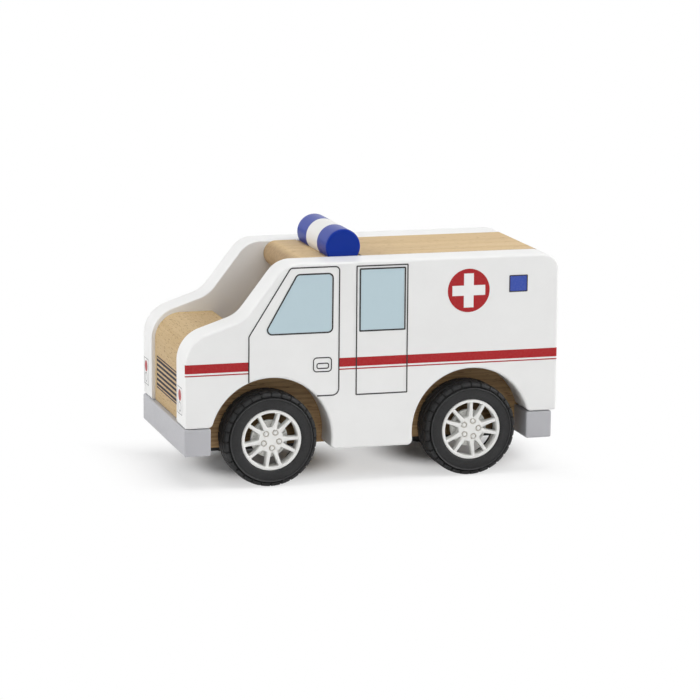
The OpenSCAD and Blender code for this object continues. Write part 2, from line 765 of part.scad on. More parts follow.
core_block();
side_panel_left();
side_panel_right();
front_bumper();
rear_bumper();
light_bar();
panel_dowels();
bumper_dowels();
light_bar_dowels();
front_axle_box();
rear_axle_box();
axle_box_screws();
front_axle();
front_left_rim();
front_right_rim();
front_left_tyre();
front_right_tyre();
front_left_disc();
front_right_disc();
rear_axle();
rear_left_rim();
rear_right_rim();
rear_left_tyre();
rear_right_tyre();
rear_left_disc();
rear_right_disc();
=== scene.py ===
"""Looks of a wooden toy ambulance around its CAD frame.

The classes hold their sizes in millimetres in the part's own frame: +X to the front bumper, +Y to the toy's
left, +Z up, and the floor at zero. Meshes are made in metres, and every object sits at the origin.
"""

from __future__ import annotations

import logging
import math
from dataclasses import dataclass, field
from enum import Enum
from typing import Sequence

import bmesh
import bpy
import numpy as np
from mathutils import Matrix, Vector


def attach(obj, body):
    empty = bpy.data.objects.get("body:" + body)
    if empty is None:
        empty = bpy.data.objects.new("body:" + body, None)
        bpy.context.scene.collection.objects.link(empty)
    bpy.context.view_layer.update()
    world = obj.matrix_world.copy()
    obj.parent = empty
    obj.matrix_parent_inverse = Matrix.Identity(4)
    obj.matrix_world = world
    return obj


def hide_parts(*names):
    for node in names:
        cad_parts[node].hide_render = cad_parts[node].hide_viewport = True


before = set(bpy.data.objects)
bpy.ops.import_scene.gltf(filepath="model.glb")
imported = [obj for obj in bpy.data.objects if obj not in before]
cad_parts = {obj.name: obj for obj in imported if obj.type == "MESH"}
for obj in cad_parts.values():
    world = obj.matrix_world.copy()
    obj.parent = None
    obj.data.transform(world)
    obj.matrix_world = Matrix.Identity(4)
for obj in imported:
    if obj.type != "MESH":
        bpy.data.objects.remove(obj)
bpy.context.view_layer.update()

LOG = logging.getLogger("ambulance")
MM = 0.001
WELD = 2e-7  # points of a closed piece that lie within this many metres are merged
NOISE = (0.3, 0.7)  # most of a noise lies between these two
QUARTER = np.radians(np.linspace(0, 90, 7))
Array = np.ndarray
Socket = bpy.types.NodeSocket
Pair = tuple[float, float]
Triple = tuple[float, float, float]
Quad = tuple[float, float, float, float]
Path = tuple[Pair, ...]
Faces = list[list[int]]


class Body(Enum):
    """Rigid bodies of the toy."""

    CHASSIS = "chassis"
    FRONT = "front_wheels"
    REAR = "rear_wheels"


class Slot(Enum):
    """Material slots of the record, passed along with the new pieces."""

    CORE = "core_wood"
    WHITE = "white_lacquer"
    GREY = "grey_lacquer"
    BLUE = "blue_lacquer"
    RIM = "rim_plastic"
    DISC = "disc_plastic"
    TYRE = "tyre_rubber"


class Side(Enum):
    """The toy's two sides, as the sign of Y."""

    LEFT = 1
    RIGHT = -1


def linear(rgb: Sequence[float]) -> Quad:
    """Turns a display colour of 0 to 255 into linear light by the sRGB curve.

    Args:
        rgb: red, green and blue as a screen shows them.

    Returns:
        The linear colour with alpha 1.
    """
    c = np.asarray(rgb, float) / 255
    c = np.where(c <= 0.04045, c / 12.92, ((c + 0.055) / 1.055) ** 2.4)
    return (float(c[0]), float(c[1]), float(c[2]), 1.0)


def shaded(colour: Sequence[float], factor: float) -> Quad:
    """A linear colour multiplied by a factor, with alpha 1."""
    return (*(c * factor for c in colour[:3]), 1.0)


class NodeBench:
    """A material's node tree with short calls for the nodes that the finishes use."""

    def __init__(self, name: str) -> None:
        """Makes an empty material with a principled shader."""
        self.material = bpy.data.materials.new(name)
        self.material.use_nodes = True
        self.tree = self.material.node_tree
        self.tree.nodes.clear()
        self.output = self.node("OutputMaterial")
        self.shader = self.node("BsdfPrincipled")
        self.link(self.shader.outputs["BSDF"], self.output.inputs["Surface"])
        places = self.node("TexCoord")
        self.coords, self.normals = places.outputs["Object"], places.outputs["Normal"]

    def node(self, kind: str) -> bpy.types.Node:
        """A new shader node of the given kind."""
        return self.tree.nodes.new("ShaderNode" + kind)

    def link(self, start: Socket, end: Socket) -> None:
        """Joins two sockets."""
        self.tree.links.new(start, end)

    def feed(self, socket: Socket, value: Socket | float | Sequence[float]) -> None:
        """Joins an input to a socket, or sets it to a constant."""
        if isinstance(value, Socket):
            self.link(value, socket)
        else:
            socket.default_value = value

    def stretched(self, scale: Sequence[float], turn: Sequence[float] = (0, 0, 0)) -> Socket:
        """Object coordinates turned by degrees and multiplied along each axis.

        Args:
            scale: factors along X, Y and Z, in repeats a metre.
            turn: rotation about each axis in degrees.

        Returns:
            The vector socket.
        """
        node = self.node("Mapping")
        node.inputs["Scale"].default_value = scale
        node.inputs["Rotation"].default_value = [math.radians(t) for t in turn]
        self.link(self.coords, node.inputs["Vector"])
        return node.outputs["Vector"]

    def noise(self, vector: Socket, detail: float = 3, rough: float = 0.5, distort: float = 0) -> Socket:
        """Noise of unit scale at a vector.

        Args:
            vector: where the noise is read.
            detail: number of finer layers.
            rough: strength of the finer layers.
            distort: how far the noise bends itself.

        Returns:
            The noise's factor socket.
        """
        node = self.node("TexNoise")
        settings = {"Scale": 1, "Detail": detail, "Roughness": rough, "Distortion": distort}
        for key, number in settings.items():
            node.inputs[key].default_value = number
        self.link(vector, node.inputs["Vector"])
        return node.outputs["Fac"]

    def speckle(self, repeats: float, detail: float = 3, rough: float = 0.5) -> Socket:
        """Noise with the same repeats a metre along all axes."""
        return self.noise(self.stretched((repeats,) * 3), detail, rough)

    def ramp(self, value: Socket, ends: Pair, low: Sequence[float], high: Sequence[float]) -> Socket:
        """Colour that runs from one linear colour to another.

        Args:
            value: the socket that runs along the ramp.
            ends: its values at the two colours.
            low: colour at the first.
            high: colour at the second.

        Returns:
            The colour socket.
        """
        node = self.node("ValToRGB")
        for mark, place, colour in zip(node.color_ramp.elements, ends, (low, high)):
            mark.position = place
            mark.color = colour
        self.link(value, node.inputs["Fac"])
        return node.outputs["Color"]

    def clouded(self, value: Socket, colour: Triple, shade: float) -> Socket:
        """A display colour that a noise darkens down to a share of its light."""
        base = linear(colour)
        return self.ramp(value, NOISE, shaded(base, shade), base)

    def span(self, value: Socket, source: Pair, target: Pair, smooth: bool = False) -> Socket:
        """Maps a value's range onto another, held at both ends.

        Args:
            value: the socket to map.
            source: start and end of its range.
            target: results at the start and end.
            smooth: whether both ends ease in.

        Returns:
            The mapped value's socket.
        """
        node = self.node("MapRange")
        node.clamp = True
        node.interpolation_type = "SMOOTHSTEP" if smooth else "LINEAR"
        for key, number in zip(("From Min", "From Max", "To Min", "To Max"), (*source, *target)):
            node.inputs[key].default_value = number
        self.link(value, node.inputs["Value"])
        return node.outputs["Result"]

    def math(self, kind: str, a: Socket, b: Socket | float = 0.0) -> Socket:
        """A math node of one or two values.

        Args:
            kind: the node's operation.
            a: first socket.
            b: second socket or number.

        Returns:
            The result's socket.
        """
        node = self.node("Math")
        node.operation = kind
        self.link(a, node.inputs[0])
        self.feed(node.inputs[1], b)
        return node.outputs["Value"]

    def mix(self, share: Socket | float, a: Socket | Sequence[float], b: Socket | Sequence[float],
            kind: str = "MIX") -> Socket:
        """Mixes two colours.

        Args:
            share: weight of the second colour, a socket or a number.
            a: first colour, a socket or a linear colour.
            b: second colour, a socket or a linear colour.
            kind: blend type.

        Returns:
            The mixed colour's socket.
        """
        node = self.node("Mix")
        node.data_type = "RGBA"
        node.blend_type = kind
        for number, value in ((0, share), (6, a), (7, b)):
            self.feed(node.inputs[number], value)
        return node.outputs[2]

    def axis(self, name: str) -> Socket:
        """One component of the object coordinates."""
        node = self.node("SeparateXYZ")
        self.link(self.coords, node.inputs[0])
        return node.outputs[name]

    def tint(self) -> Socket:
        """The painted shading that a shell gives its points: painted shade in hollows, a painted highlight on
        ridges.
        """
        node = self.node("Attribute")
        node.attribute_name = "tint"
        return node.outputs["Fac"]

    def bump(self, height: Socket, depth: float) -> None:
        """Lays a bump on top of those laid before.

        Args:
            height: socket of 0 to 1.
            depth: height of the bump in metres.
        """
        node = self.node("Bump")
        node.inputs["Distance"].default_value = depth
        node.inputs["Strength"].default_value = 1
        self.link(height, node.inputs["Height"])
        target = self.shader.inputs["Normal"]
        if target.links:
            self.link(target.links[0].from_socket, node.inputs["Normal"])
        self.link(node.outputs["Normal"], target)

    def paint(self, colour: Socket) -> None:
        """Gives the shader its colour."""
        self.link(colour, self.shader.inputs["Base Color"])

    def roughen(self, value: Socket, middle: float, swing: Pair) -> None:
        """Lets the roughness follow a noise.

        Args:
            value: the noise's socket.
            middle: roughness about which it swings.
            swing: how far it goes down and up.
        """
        rough = self.span(value, NOISE, (middle - swing[0], middle + swing[1]))
        self.link(rough, self.shader.inputs["Roughness"])

    def set(self, **values: float | Sequence[float]) -> None:
        """Sets the shader's sockets: underscores in the names stand for spaces."""
        for key, value in values.items():
            self.shader.inputs[key.replace("_", " ")].default_value = value


@dataclass(frozen=True)
class Finish:
    """A finish that makes its material once."""

    name: str

    def dress(self, bench: NodeBench) -> None:
        """Adds the finish's nodes to the bench."""
        raise NotImplementedError

    def material(self) -> bpy.types.Material:
        """The finish's material, made on first use."""
        found = bpy.data.materials.get(self.name)
        if found is None:
            bench = NodeBench(self.name)
            self.dress(bench)
            found = bench.material
        return found


@dataclass(frozen=True)
class Lacquer(Finish):
    """Opaque satin lacquer over wood: the grain below still shows as faint ripples."""

    colour: Triple
    roughness: float = 0.42
    swing: Pair = (0.055, 0.055)
    shade: float = 0.965
    grain: float = 0.000012
    peel: float = 0.000006
    index: float = 1.48
    cloud_scale: Triple = (55, 70, 70)
    peel_repeats: float = 900
    ripple_scale: Triple = (60, 1100, 1100)
    ripple_turn: Triple = (0, 4, 2)

    def dress(self, bench: NodeBench) -> None:
        """Clouds the colour a little and lays orange peel and grain ripples."""
        cloud = bench.noise(bench.stretched(self.cloud_scale), 4, 0.55)
        bench.paint(bench.clouded(cloud, self.colour, self.shade))
        peel = bench.speckle(self.peel_repeats, 2)
        ripple = bench.noise(bench.stretched(self.ripple_scale, self.ripple_turn), 3, 0.6)
        bench.roughen(peel, self.roughness, self.swing)
        bench.bump(peel, self.peel)
        bench.bump(ripple, self.grain)
        bench.set(IOR=self.index)


@dataclass(frozen=True)
class BandedLacquer(Lacquer):
    """Lacquer with a band of a second colour around the middle of a bar that lies along Y."""

    band: Triple = (233, 232, 229)
    low: float = -6.5
    high: float = 7.2
    wave: float = 0.1
    wave_scale: Triple = (260, 20, 260)
    soft: float = 0.08

    def dress(self, bench: NodeBench) -> None:
        """Paints the band where Y lies between its edges, with a slightly soft and wavy edge."""
        super().dress(bench)
        old = bench.shader.inputs["Base Color"].links[0].from_socket
        ripple = bench.noise(bench.stretched(self.wave_scale), 2)
        wave = bench.span(ripple, (0, 1), (-self.wave * MM, self.wave * MM))
        y = bench.math("ADD", bench.axis("Y"), wave)
        half = (self.high - self.low) / 2
        away = bench.math("ABSOLUTE", bench.math("SUBTRACT", y, (self.high + self.low) / 2 * MM))
        share = bench.span(away, ((half - self.soft) * MM, (half + self.soft) * MM), (1, 0))
        bench.paint(bench.mix(share, old, linear(self.band)))


@dataclass(frozen=True)
class Beech(Finish):
    """Beech with a clear satin coat: streaks, growth bands and short dark flecks along the grain.

    The grain runs along X. On the bonnet, from bonnet_x on, the faces that look up or forwards show it along
    Y, and the faces behind it that look forwards or back show darker, mottled end grain. The faces that look
    sideways, which the panels leave uncovered in the wheel arches, get painted shade: browner, darker and
    streaked. Bands, streaks and flecks start with their repeats a metre along and across the grain. Flecks
    add the noise level where they start and their strength.
    """

    light: Triple = (216, 189, 146)
    dark: Triple = (198, 168, 122)
    fleck: Triple = (146, 108, 68)
    end: Triple = (163, 135, 99)
    roughness: float = 0.58
    swing: Pair = (0.07, 0.08)
    index: float = 1.42
    tilt: Triple = (0, 3, 2)
    bands: Pair = (9, 120)
    streaks: Pair = (45, 1500)
    tone_shares: Pair = (0.55, 0.45)
    tone_levels: Pair = (0.36, 0.62)
    flecks: Quad = (330, 2300, 0.66, 0.7)
    cross_flecks: Quad = (480, 2900, 0.61, 0.62)
    fleck_rise: float = 0.07
    bonnet_x: float = 42.95
    bonnet_blend: float = 0.1
    bonnet_facing: Pair = (0.3, 0.5)
    bonnet_tint: Triple = (240, 240, 238)
    # Painted shade on the faces that look sideways: where it applies, and the two colours and levels that
    # darken them along the streaks.
    side_shade_facing: Pair = (0.5, 0.7)
    side_tint: Triple = (216, 204, 192)
    side_shade_dark: Triple = (190, 176, 162)
    side_shade_levels: Pair = (0.4, 0.56)
    end_facing: Pair = (0.25, 0.75)
    end_share: float = 0.85
    pore_scale: Triple = (500, 750, 750)
    pore_levels: Pair = (0.38, 0.6)
    pore_shade: float = 0.75
    streak_depth: float = 0.00002
    pit_levels: Pair = (0.64, 0.74)
    pit_depth: float = 0.00005

    def grain(self, bench: NodeBench, along: int, flecks: Quad) -> tuple[Socket, Socket, Socket]:
        """Wood colour, streaks and flecks of a grain that runs along one axis.

        Args:
            bench: the material's nodes.
            along: number of the axis.
            flecks: the flecks' repeats, level and strength.

        Returns:
            Sockets of the colour, the streaks and the flecks.
        """
        def drawn(slow: float, fast: float) -> Socket:
            """Coordinates drawn out along the grain and tilted a little."""
            return bench.stretched([slow if i == along else fast for i in range(3)], self.tilt)

        slow, fast, level, strength = flecks
        bands = bench.noise(drawn(*self.bands), 3, 0.55, 0.6)
        streaks = bench.noise(drawn(*self.streaks), 4, 0.6)
        weighed = zip((bands, streaks), self.tone_shares)
        parts = [bench.math("MULTIPLY", value, share) for value, share in weighed]
        wood = bench.ramp(bench.math("ADD", *parts), self.tone_levels, linear(self.dark), linear(self.light))
        dashes = bench.noise(drawn(slow, fast), 1, 0.4)
        mark = bench.span(dashes, (level, level + self.fleck_rise), (0, strength))
        return bench.mix(mark, wood, linear(self.fleck)), streaks, dashes

    def dress(self, bench: NodeBench) -> None:
        """Chooses the grain by place and by the way the face looks, and sinks the flecks."""
        lengthwise, streaks, dashes = self.grain(bench, 0, self.flecks)
        crosswise, _, cross_dashes = self.grain(bench, 1, self.cross_flecks)
        crosswise = bench.mix(1.0, crosswise, linear(self.bonnet_tint), "MULTIPLY")
        looks = bench.node("SeparateXYZ")
        bench.link(bench.normals, looks.inputs[0])
        lengthways, sideways = (bench.math("ABSOLUTE", looks.outputs[name]) for name in "XY")
        x, rear = bench.axis("X"), (self.bonnet_x * MM, (self.bonnet_x + self.bonnet_blend) * MM)
        on_bonnet = bench.math("MULTIPLY", bench.span(x, rear, (0, 1)),
                               bench.span(sideways, self.bonnet_facing, (1, 0)))
        wood = bench.mix(on_bonnet, lengthwise, crosswise)
        # Painted shade: faces that look sideways are multiplied darker and browner, streaked with the grain.
        painted_side_shade = bench.ramp(streaks, self.side_shade_levels, linear(self.side_shade_dark), linear(self.side_tint))
        wood = bench.mix(bench.span(sideways, self.side_shade_facing, (0, 1)), wood, painted_side_shade, "MULTIPLY")
        mottle, end = bench.noise(bench.stretched(self.pore_scale), 4, 0.7), linear(self.end)
        pores = bench.ramp(mottle, self.pore_levels, shaded(end, self.pore_shade), end)
        on_end = bench.math("MULTIPLY", bench.span(lengthways, self.end_facing, (0, self.end_share)),
                            bench.span(x, rear, (1, 0)))
        bench.paint(bench.mix(on_end, wood, pores))
        bench.roughen(streaks, self.roughness, self.swing)
        bench.bump(streaks, self.streak_depth)
        pits = bench.mix(on_bonnet, dashes, cross_dashes)
        bench.bump(bench.span(pits, self.pit_levels, (1, 0)), self.pit_depth)
        bench.set(IOR=self.index)


@dataclass(frozen=True)
class Ink(Finish):
    """Screen-print ink: a nearly even colour with a faint mottle."""

    colour: Triple
    thin: float
    roughness: float = 0.38
    index: float = 1.48
    swing: Pair = (0.05, 0.05)
    ground: float = 0.85
    repeats: float = 1300
    levels: Pair = (0.42, 0.75)

    def dress(self, bench: NodeBench) -> None:
        """Mottles the ink towards the white ground by its thinness."""
        base = linear(self.colour)
        pale = (*(c + (self.ground - c) * self.thin for c in base[:3]), 1.0)
        mottle = bench.speckle(self.repeats, 3, 0.6)
        bench.paint(bench.ramp(mottle, self.levels, base, pale))
        bench.roughen(mottle, self.roughness, self.swing)
        bench.set(IOR=self.index)


@dataclass(frozen=True)
class Plastic(Finish):
    """Moulded plastic with a fine mould texture and slight clouding."""

    colour: Triple
    shade: float = 0.95
    roughness: float = 0.33
    texture: float = 0.000008
    repeats: float = 2200
    swing: Pair = (0.06, 0.08)
    index: float = 1.5
    # Colour of the painted shade in the hollows, such as the hub's lug recesses.
    hollow: Triple = (204, 199, 190)
    cloud_repeats: float = 180

    def dress(self, bench: NodeBench) -> None:
        """Clouds the colour, paints shade into the hollows that the shell marks, and roughens the surface."""
        cloud = bench.clouded(bench.speckle(self.cloud_repeats, 4, 0.6), self.colour, self.shade)
        bench.paint(bench.mix(bench.tint(), cloud, linear(self.hollow)))
        fine = bench.speckle(self.repeats, 2)
        bench.roughen(fine, self.roughness, self.swing)
        bench.bump(fine, self.texture)
        bench.set(IOR=self.index)


@dataclass(frozen=True)
class Rubber(Finish):
    """Matt black rubber with a grey bloom and a fine mould texture."""

    colour: Triple = (22, 22, 23)
    bloom: Triple = (35, 35, 36)
    # ridge is a painted highlight on the ring beside the tread; hollow and its share are painted shade in the
    # groove and the tread's gaps.
    ridge: Triple = (78, 78, 79)
    hollow: Triple = (7, 7, 7)
    hollow_shade_share: float = 0.9
    roughness: float = 0.62
    swing: Pair = (0.08, 0.12)
    index: float = 1.52
    texture: float = 0.00003
    repeats: float = 1700
    bloom_repeats: float = 150
    bloom_levels: Pair = (0.35, 0.72)

    def dress(self, bench: NodeBench) -> None:
        """Lays patches of bloom on the black, paints a highlight on the ridges and shade in the hollows, and
        roughens all.
        """
        patches, tint = bench.speckle(self.bloom_repeats, 5, 0.65), bench.tint()
        plain = bench.ramp(patches, self.bloom_levels, linear(self.colour), linear(self.bloom))
        # Painted highlight where the painted shading is below zero, painted shade where it is above.
        highlighted = bench.mix(bench.span(tint, (-1, 0), (1, 0)), plain, linear(self.ridge))
        bench.paint(bench.mix(bench.span(tint, (0, 1), (0, self.hollow_shade_share)), highlighted, linear(self.hollow)))
        fine = bench.speckle(self.repeats, 3, 0.6)
        bench.roughen(fine, self.roughness, self.swing)
        bench.bump(fine, self.texture)
        bench.set(IOR=self.index)


@dataclass(frozen=True)
class Steel(Finish):
    """Drawn or plated steel with fine lines along Y."""

    colour: Triple = (198, 198, 202)
    roughness: float = 0.3
    swing: Pair = (0.08, 0.1)
    shade: float = 0.85
    line_scale: Triple = (3500, 60, 3500)
    line_depth: float = 0.000004

    def dress(self, bench: NodeBench) -> None:
        """Varies the colour and the roughness along the drawing lines."""
        lines = bench.noise(bench.stretched(self.line_scale), 3, 0.6)
        bench.paint(bench.clouded(lines, self.colour, self.shade))
        bench.roughen(lines, self.roughness, self.swing)
        bench.bump(lines, self.line_depth)
        bench.set(Metallic=1.0)


WHITE = Lacquer("white lacquer", (240, 240, 239))
GREY = Lacquer("grey lacquer", (184, 184, 188), 0.45)
BLUE = BandedLacquer("blue lacquer with white band", (12, 50, 152), 0.3, swing=(0.012, 0.012), shade=0.95,
                     grain=0.0000005, peel=0.0000002, index=1.25)
BEECH = Beech("coated beech")
RAW_BEECH = Beech("raw beech", (214, 186, 142), (190, 158, 112), (140, 104, 66), (176, 146, 106), 0.65)
BLACK_INK = Ink("black ink", (38, 34, 33), 0.03)
THIN_INK = Ink("thin grey ink", (104, 104, 108), 0.1)
GRILLE_INK = Ink("dark grey ink", (66, 65, 73), 0.02, 0.7, 1.12)
RED_INK = Ink("red ink", (170, 22, 28), 0.02, 0.38, 1.38)
BLUE_INK = Ink("blue ink", (46, 74, 170), 0.03)
WHITE_INK = Ink("white ink", (240, 240, 239), 0.02)
PANE_INK = Ink("pane blue ink", (188, 209, 217), 0.03)
RIM_PLASTIC = Plastic("white rim plastic", (238, 238, 235))
DISC_PLASTIC = Plastic("pale disc plastic", (232, 232, 228), roughness=0.4)
BLACK_PLASTIC = Plastic("black plastic", (26, 26, 27), 0.8, 0.5, 0.00002, 1500)
RUBBER = Rubber("black tyre rubber")
AXLE_STEEL = Steel("drawn steel")
SCREW_STEEL = Steel("plated steel", (205, 204, 198), 0.28)


@dataclass
class Shell:
    """Points in millimetres, faces of point numbers, and each point's painted shading: 1 for painted shade in
    hollows, -1 for a painted highlight on ridges.
    """

    points: Array
    faces: Faces
    # Painted light per point: painted shade in hollows, painted highlight on ridges.
    tint: Array | None = None

    @staticmethod
    def joined(parts: Sequence["Shell"]) -> "Shell":
        """Several shells as one.

        Args:
            parts: the shells to join.

        Returns:
            One shell with all their points and faces.
        """
        starts = np.concatenate([[0], np.cumsum([len(p.points) for p in parts])])
        faces = [[i + int(s) for i in f] for p, s in zip(parts, starts) for f in p.faces]
        tint = np.concatenate([np.zeros(len(p.points)) if p.tint is None else p.tint for p in parts])
        return Shell(np.concatenate([p.points for p in parts]), faces, tint)

    def mirrored(self, side: Side) -> "Shell":
        """The shell on the given side, with its faces turned round when it changes side."""
        if side is Side.LEFT:
            return self
        return Shell(self.points * (1, -1, 1), [f[::-1] for f in self.faces], self.tint)


def grid_faces(rows: int, cols: int, loop_rows: bool = False, loop_cols: bool = False) -> Faces:
    """Quads of a grid whose points are numbered row by row.

    Args:
        rows: number of rows.
        cols: number of columns.
        loop_rows: whether the last row joins the first.
        loop_cols: whether the last column joins the first.

    Returns:
        The quads.
    """
    i, j = np.meshgrid(np.arange(rows if loop_rows else rows - 1), np.arange(cols if loop_cols else cols - 1),
                       indexing="ij")
    up, on = (i + 1) % rows, (j + 1) % cols
    quads = np.stack([i * cols + j, i * cols + on, up * cols + on, up * cols + j], -1)
    return quads.reshape(-1, 4).tolist()


def capped_faces(rows: int, cols: int) -> Faces:
    """Quads of a tube whose rows are rings, with one face over its first ring and one over its last."""
    caps = [list(range(cols))[::-1], list(range((rows - 1) * cols, rows * cols))]
    return grid_faces(rows, cols, False, True) + caps


def unit(vectors: Array) -> Array:
    """Vectors brought to length 1."""
    return vectors / np.linalg.norm(vectors, axis=1, keepdims=True)


def full_turn(count: int) -> Array:
    """Even angles over one full circle in radians."""
    return np.linspace(0, 2 * np.pi, count, endpoint=False)


def upright(path: Array, y: float) -> Array:
    """Points of X and Z stood up at a place along Y."""
    return np.column_stack([path[:, 0], np.full(len(path), y), path[:, 1]])


def filleted(corners: Sequence[Sequence[float]], radii: Sequence[float] | float, closed: bool = True,
             steps: int = 8) -> Array:
    """A path whose corners are arcs.

    Each arc is tangent to both legs: its centre lies on the bisector, radius / sin(half angle) from the
    corner, and it turns through 180 degrees less the corner's angle.

    Args:
        corners: the path's corners.
        radii: one radius, or one for each corner.
        closed: whether the last corner joins the first. An open path keeps its two end points.
        steps: chords in each arc.

    Returns:
        The points of the path.
    """
    p = np.asarray(corners, float)
    r = np.broadcast_to(np.asarray(radii, float), len(p))
    ends = p[0], p[-1]
    a, b = np.roll(p, 1, 0) - p, np.roll(p, -1, 0) - p
    if not closed:
        p, a, b, r = p[1:-1], a[1:-1], b[1:-1], r[1:-1]
    a, b = unit(a), unit(b)
    half = np.arccos(np.clip((a * b).sum(1), -1, 1)) / 2
    centre = p + unit(a + b) * (r / np.sin(half))[:, None]
    start, end = (p + leg * (r / np.tan(half))[:, None] - centre for leg in (a, b))
    way = np.sign(start[:, 0] * end[:, 1] - start[:, 1] * end[:, 0])
    t = (way * (np.pi - 2 * half))[:, None] * np.linspace(0, 1, steps + 1)
    x = centre[:, :1] + start[:, :1] * np.cos(t) - start[:, 1:] * np.sin(t)
    y = centre[:, 1:] + start[:, :1] * np.sin(t) + start[:, 1:] * np.cos(t)
    path = np.stack([x, y], -1).reshape(-1, 2)
    return path if closed else np.concatenate([[ends[0]], path, [ends[1]]])


def ribbon(path: Array, width: float, closed: bool) -> Shell:
    """A flat line of even width: each point is moved half the width to both sides of the path's tangent.

    Args:
        path: points in a plane.
        width: the line's width.
        closed: whether the path joins up.

    Returns:
        A shell with two coordinates a point.
    """
    tangent = unit(np.roll(path, -1, 0) - np.roll(path, 1, 0) if closed else np.gradient(path, axis=0))
    normal = np.stack([-tangent[:, 1], tangent[:, 0]], -1) * width / 2
    return Shell(np.concatenate([path + normal, path - normal]), grid_faces(2, len(path), False, closed))


def patch(outline: Array) -> Shell:
    """One flat face inside an outline, with two coordinates a point."""
    return Shell(outline, [list(range(len(outline)))])


def circle(centre: Sequence[float], radius: float, count: int = 72) -> Array:
    """Points of a circle in a plane, from its right end on and turning left."""
    t = full_turn(count)
    return np.stack([centre[0] + radius * np.cos(t), centre[1] + radius * np.sin(t)], -1)


def box_path(low: float, high: float, z0: float, z1: float) -> Array:
    """Corners of an upright rectangle, turning left from the lower one."""
    return np.array([(low, z0), (high, z0), (high, z1), (low, z1)])


def lathe(profile: Array, count: int, closed: bool) -> Shell:
    """A profile of radius and width carried round the Y axis: x = r cos a, y = width, z = r sin a.

    Args:
        profile: points of radius and place along Y.
        count: number of steps round the axis.
        closed: whether the profile joins up.

    Returns:
        The turned shell.
    """
    angles, r, y = full_turn(count), profile[:, :1], profile[:, 1:]
    points = np.stack([r * np.cos(angles), y + 0 * angles, r * np.sin(angles)], -1)
    return Shell(points.reshape(-1, 3), grid_faces(len(profile), count, closed, True))


def rounded_block(low: Sequence[float], high: Sequence[float], radius: float, steps: int = 5) -> Shell:
    """A block with round edges: a sphere of the edge radius, cut at its middle planes and pulled apart.

    A point is the inner corner of its octant plus radius times the sphere's direction. Rows run from the
    south to the north pole, and each quarter keeps its own end points, so the flat faces lie between equal
    directions.

    Args:
        low: lowest corner.
        high: highest corner.
        radius: edge radius.
        steps: chords in a quarter circle.

    Returns:
        The block's shell.
    """
    low, high = np.asarray(low, float), np.asarray(high, float)
    quarter = np.linspace(0, np.pi / 2, steps + 1)
    rise = np.concatenate([quarter - np.pi / 2, quarter])
    turn = np.concatenate([quarter + k * np.pi / 2 for k in range(4)])
    signs = [np.repeat(s, steps + 1) for s in ([1.0, -1.0, -1.0, 1.0], [1.0, 1.0, -1.0, -1.0], [-1.0, 1.0])]
    e, a = np.meshgrid(rise, turn, indexing="ij")
    way = np.stack([np.cos(e) * np.cos(a), np.cos(e) * np.sin(a), np.sin(e)], -1)
    sign = np.stack(np.broadcast_arrays(signs[0][None, :], signs[1][None, :], signs[2][:, None]), -1)
    points = (low + high) / 2 + sign * ((high - low) / 2 - radius) + radius * way
    return Shell(points.reshape(-1, 3), capped_faces(*e.shape))


class Workshop:
    """Turns shells into pieces that ride on the frame."""

    @staticmethod
    def shown(name: str, data: bpy.types.ID) -> bpy.types.Object:
        """A new object in the scene."""
        thing = bpy.data.objects.new(name, data)
        bpy.context.scene.collection.objects.link(thing)
        return thing

    @staticmethod
    def piece(name: str, shell: Shell, finish: Finish, body: Body, slot: Slot, stands_for: Sequence[str] = (),
              solid: bool = True, crease: float = 35) -> None:
        """Makes one piece of the toy.

        Args:
            name: the piece's name.
            shell: its shape in millimetres.
            finish: its finish.
            body: the body that carries it.
            slot: the record's slot of its finish; not used.
            stands_for: CAD nodes that it takes the place of.
            solid: whether it is a closed shape, whose doubles are merged and faces turned outwards.
            crease: edges sharper than this many degrees stay sharp.
        """
        mesh = bpy.data.meshes.new(name)
        mesh.from_pydata((shell.points * MM).tolist(), [], shell.faces)
        # The shell's painted shading goes on the mesh as a point attribute: painted shade in hollows, painted
        # highlight on ridges.
        if shell.tint is not None and shell.tint.any():
            values = mesh.attributes.new("tint", "FLOAT", "POINT").data
            values.foreach_set("value", shell.tint.astype(np.float32))
        if solid:
            work = bmesh.new()
            work.from_mesh(mesh)
            bmesh.ops.remove_doubles(work, verts=work.verts, dist=WELD)
            bmesh.ops.recalc_face_normals(work, faces=work.faces)
            work.to_mesh(mesh)
            work.free()
        mesh.shade_smooth()
        mesh.set_sharp_from_angle(angle=math.radians(crease))
        mesh.materials.append(finish.material())
        thing = Workshop.shown(name, mesh)
        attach(thing, body.value)
        if stands_for:
            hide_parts(*stands_for)
        LOG.info("%s: %d faces", name, len(mesh.polygons))

    @staticmethod
    def dress_node(node: str, finish: Finish) -> None:
        """Gives a CAD node that keeps its own shape a finish."""
        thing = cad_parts[node]
        thing.data.materials.clear()
        thing.data.materials.append(finish.material())
        LOG.info("%s: CAD shape with %s", node, finish.name)


@dataclass(frozen=True)
class Arc:
    """An arc of the panel's outline. turn is 1 on outer corners and -1 on hollows."""

    centre: Pair
    radius: float
    start: float
    stop: float
    turn: int = 1
    joined: bool = False

    def points(self, inset: float, step: float) -> Array:
        """The arc on an outline drawn in by a distance.

        Args:
            inset: how far the outline is drawn in.
            step: largest angle between points in degrees.

        Returns:
            Its points, without the first where it joins the arc before it.
        """
        count = math.ceil(abs(self.stop - self.start) / step)
        t = np.radians(np.linspace(self.start, self.stop, count + 1)[int(self.joined):])
        r = self.radius - self.turn * inset
        return np.stack([self.centre[0] + r * np.cos(t), self.centre[1] + r * np.sin(t)], -1)


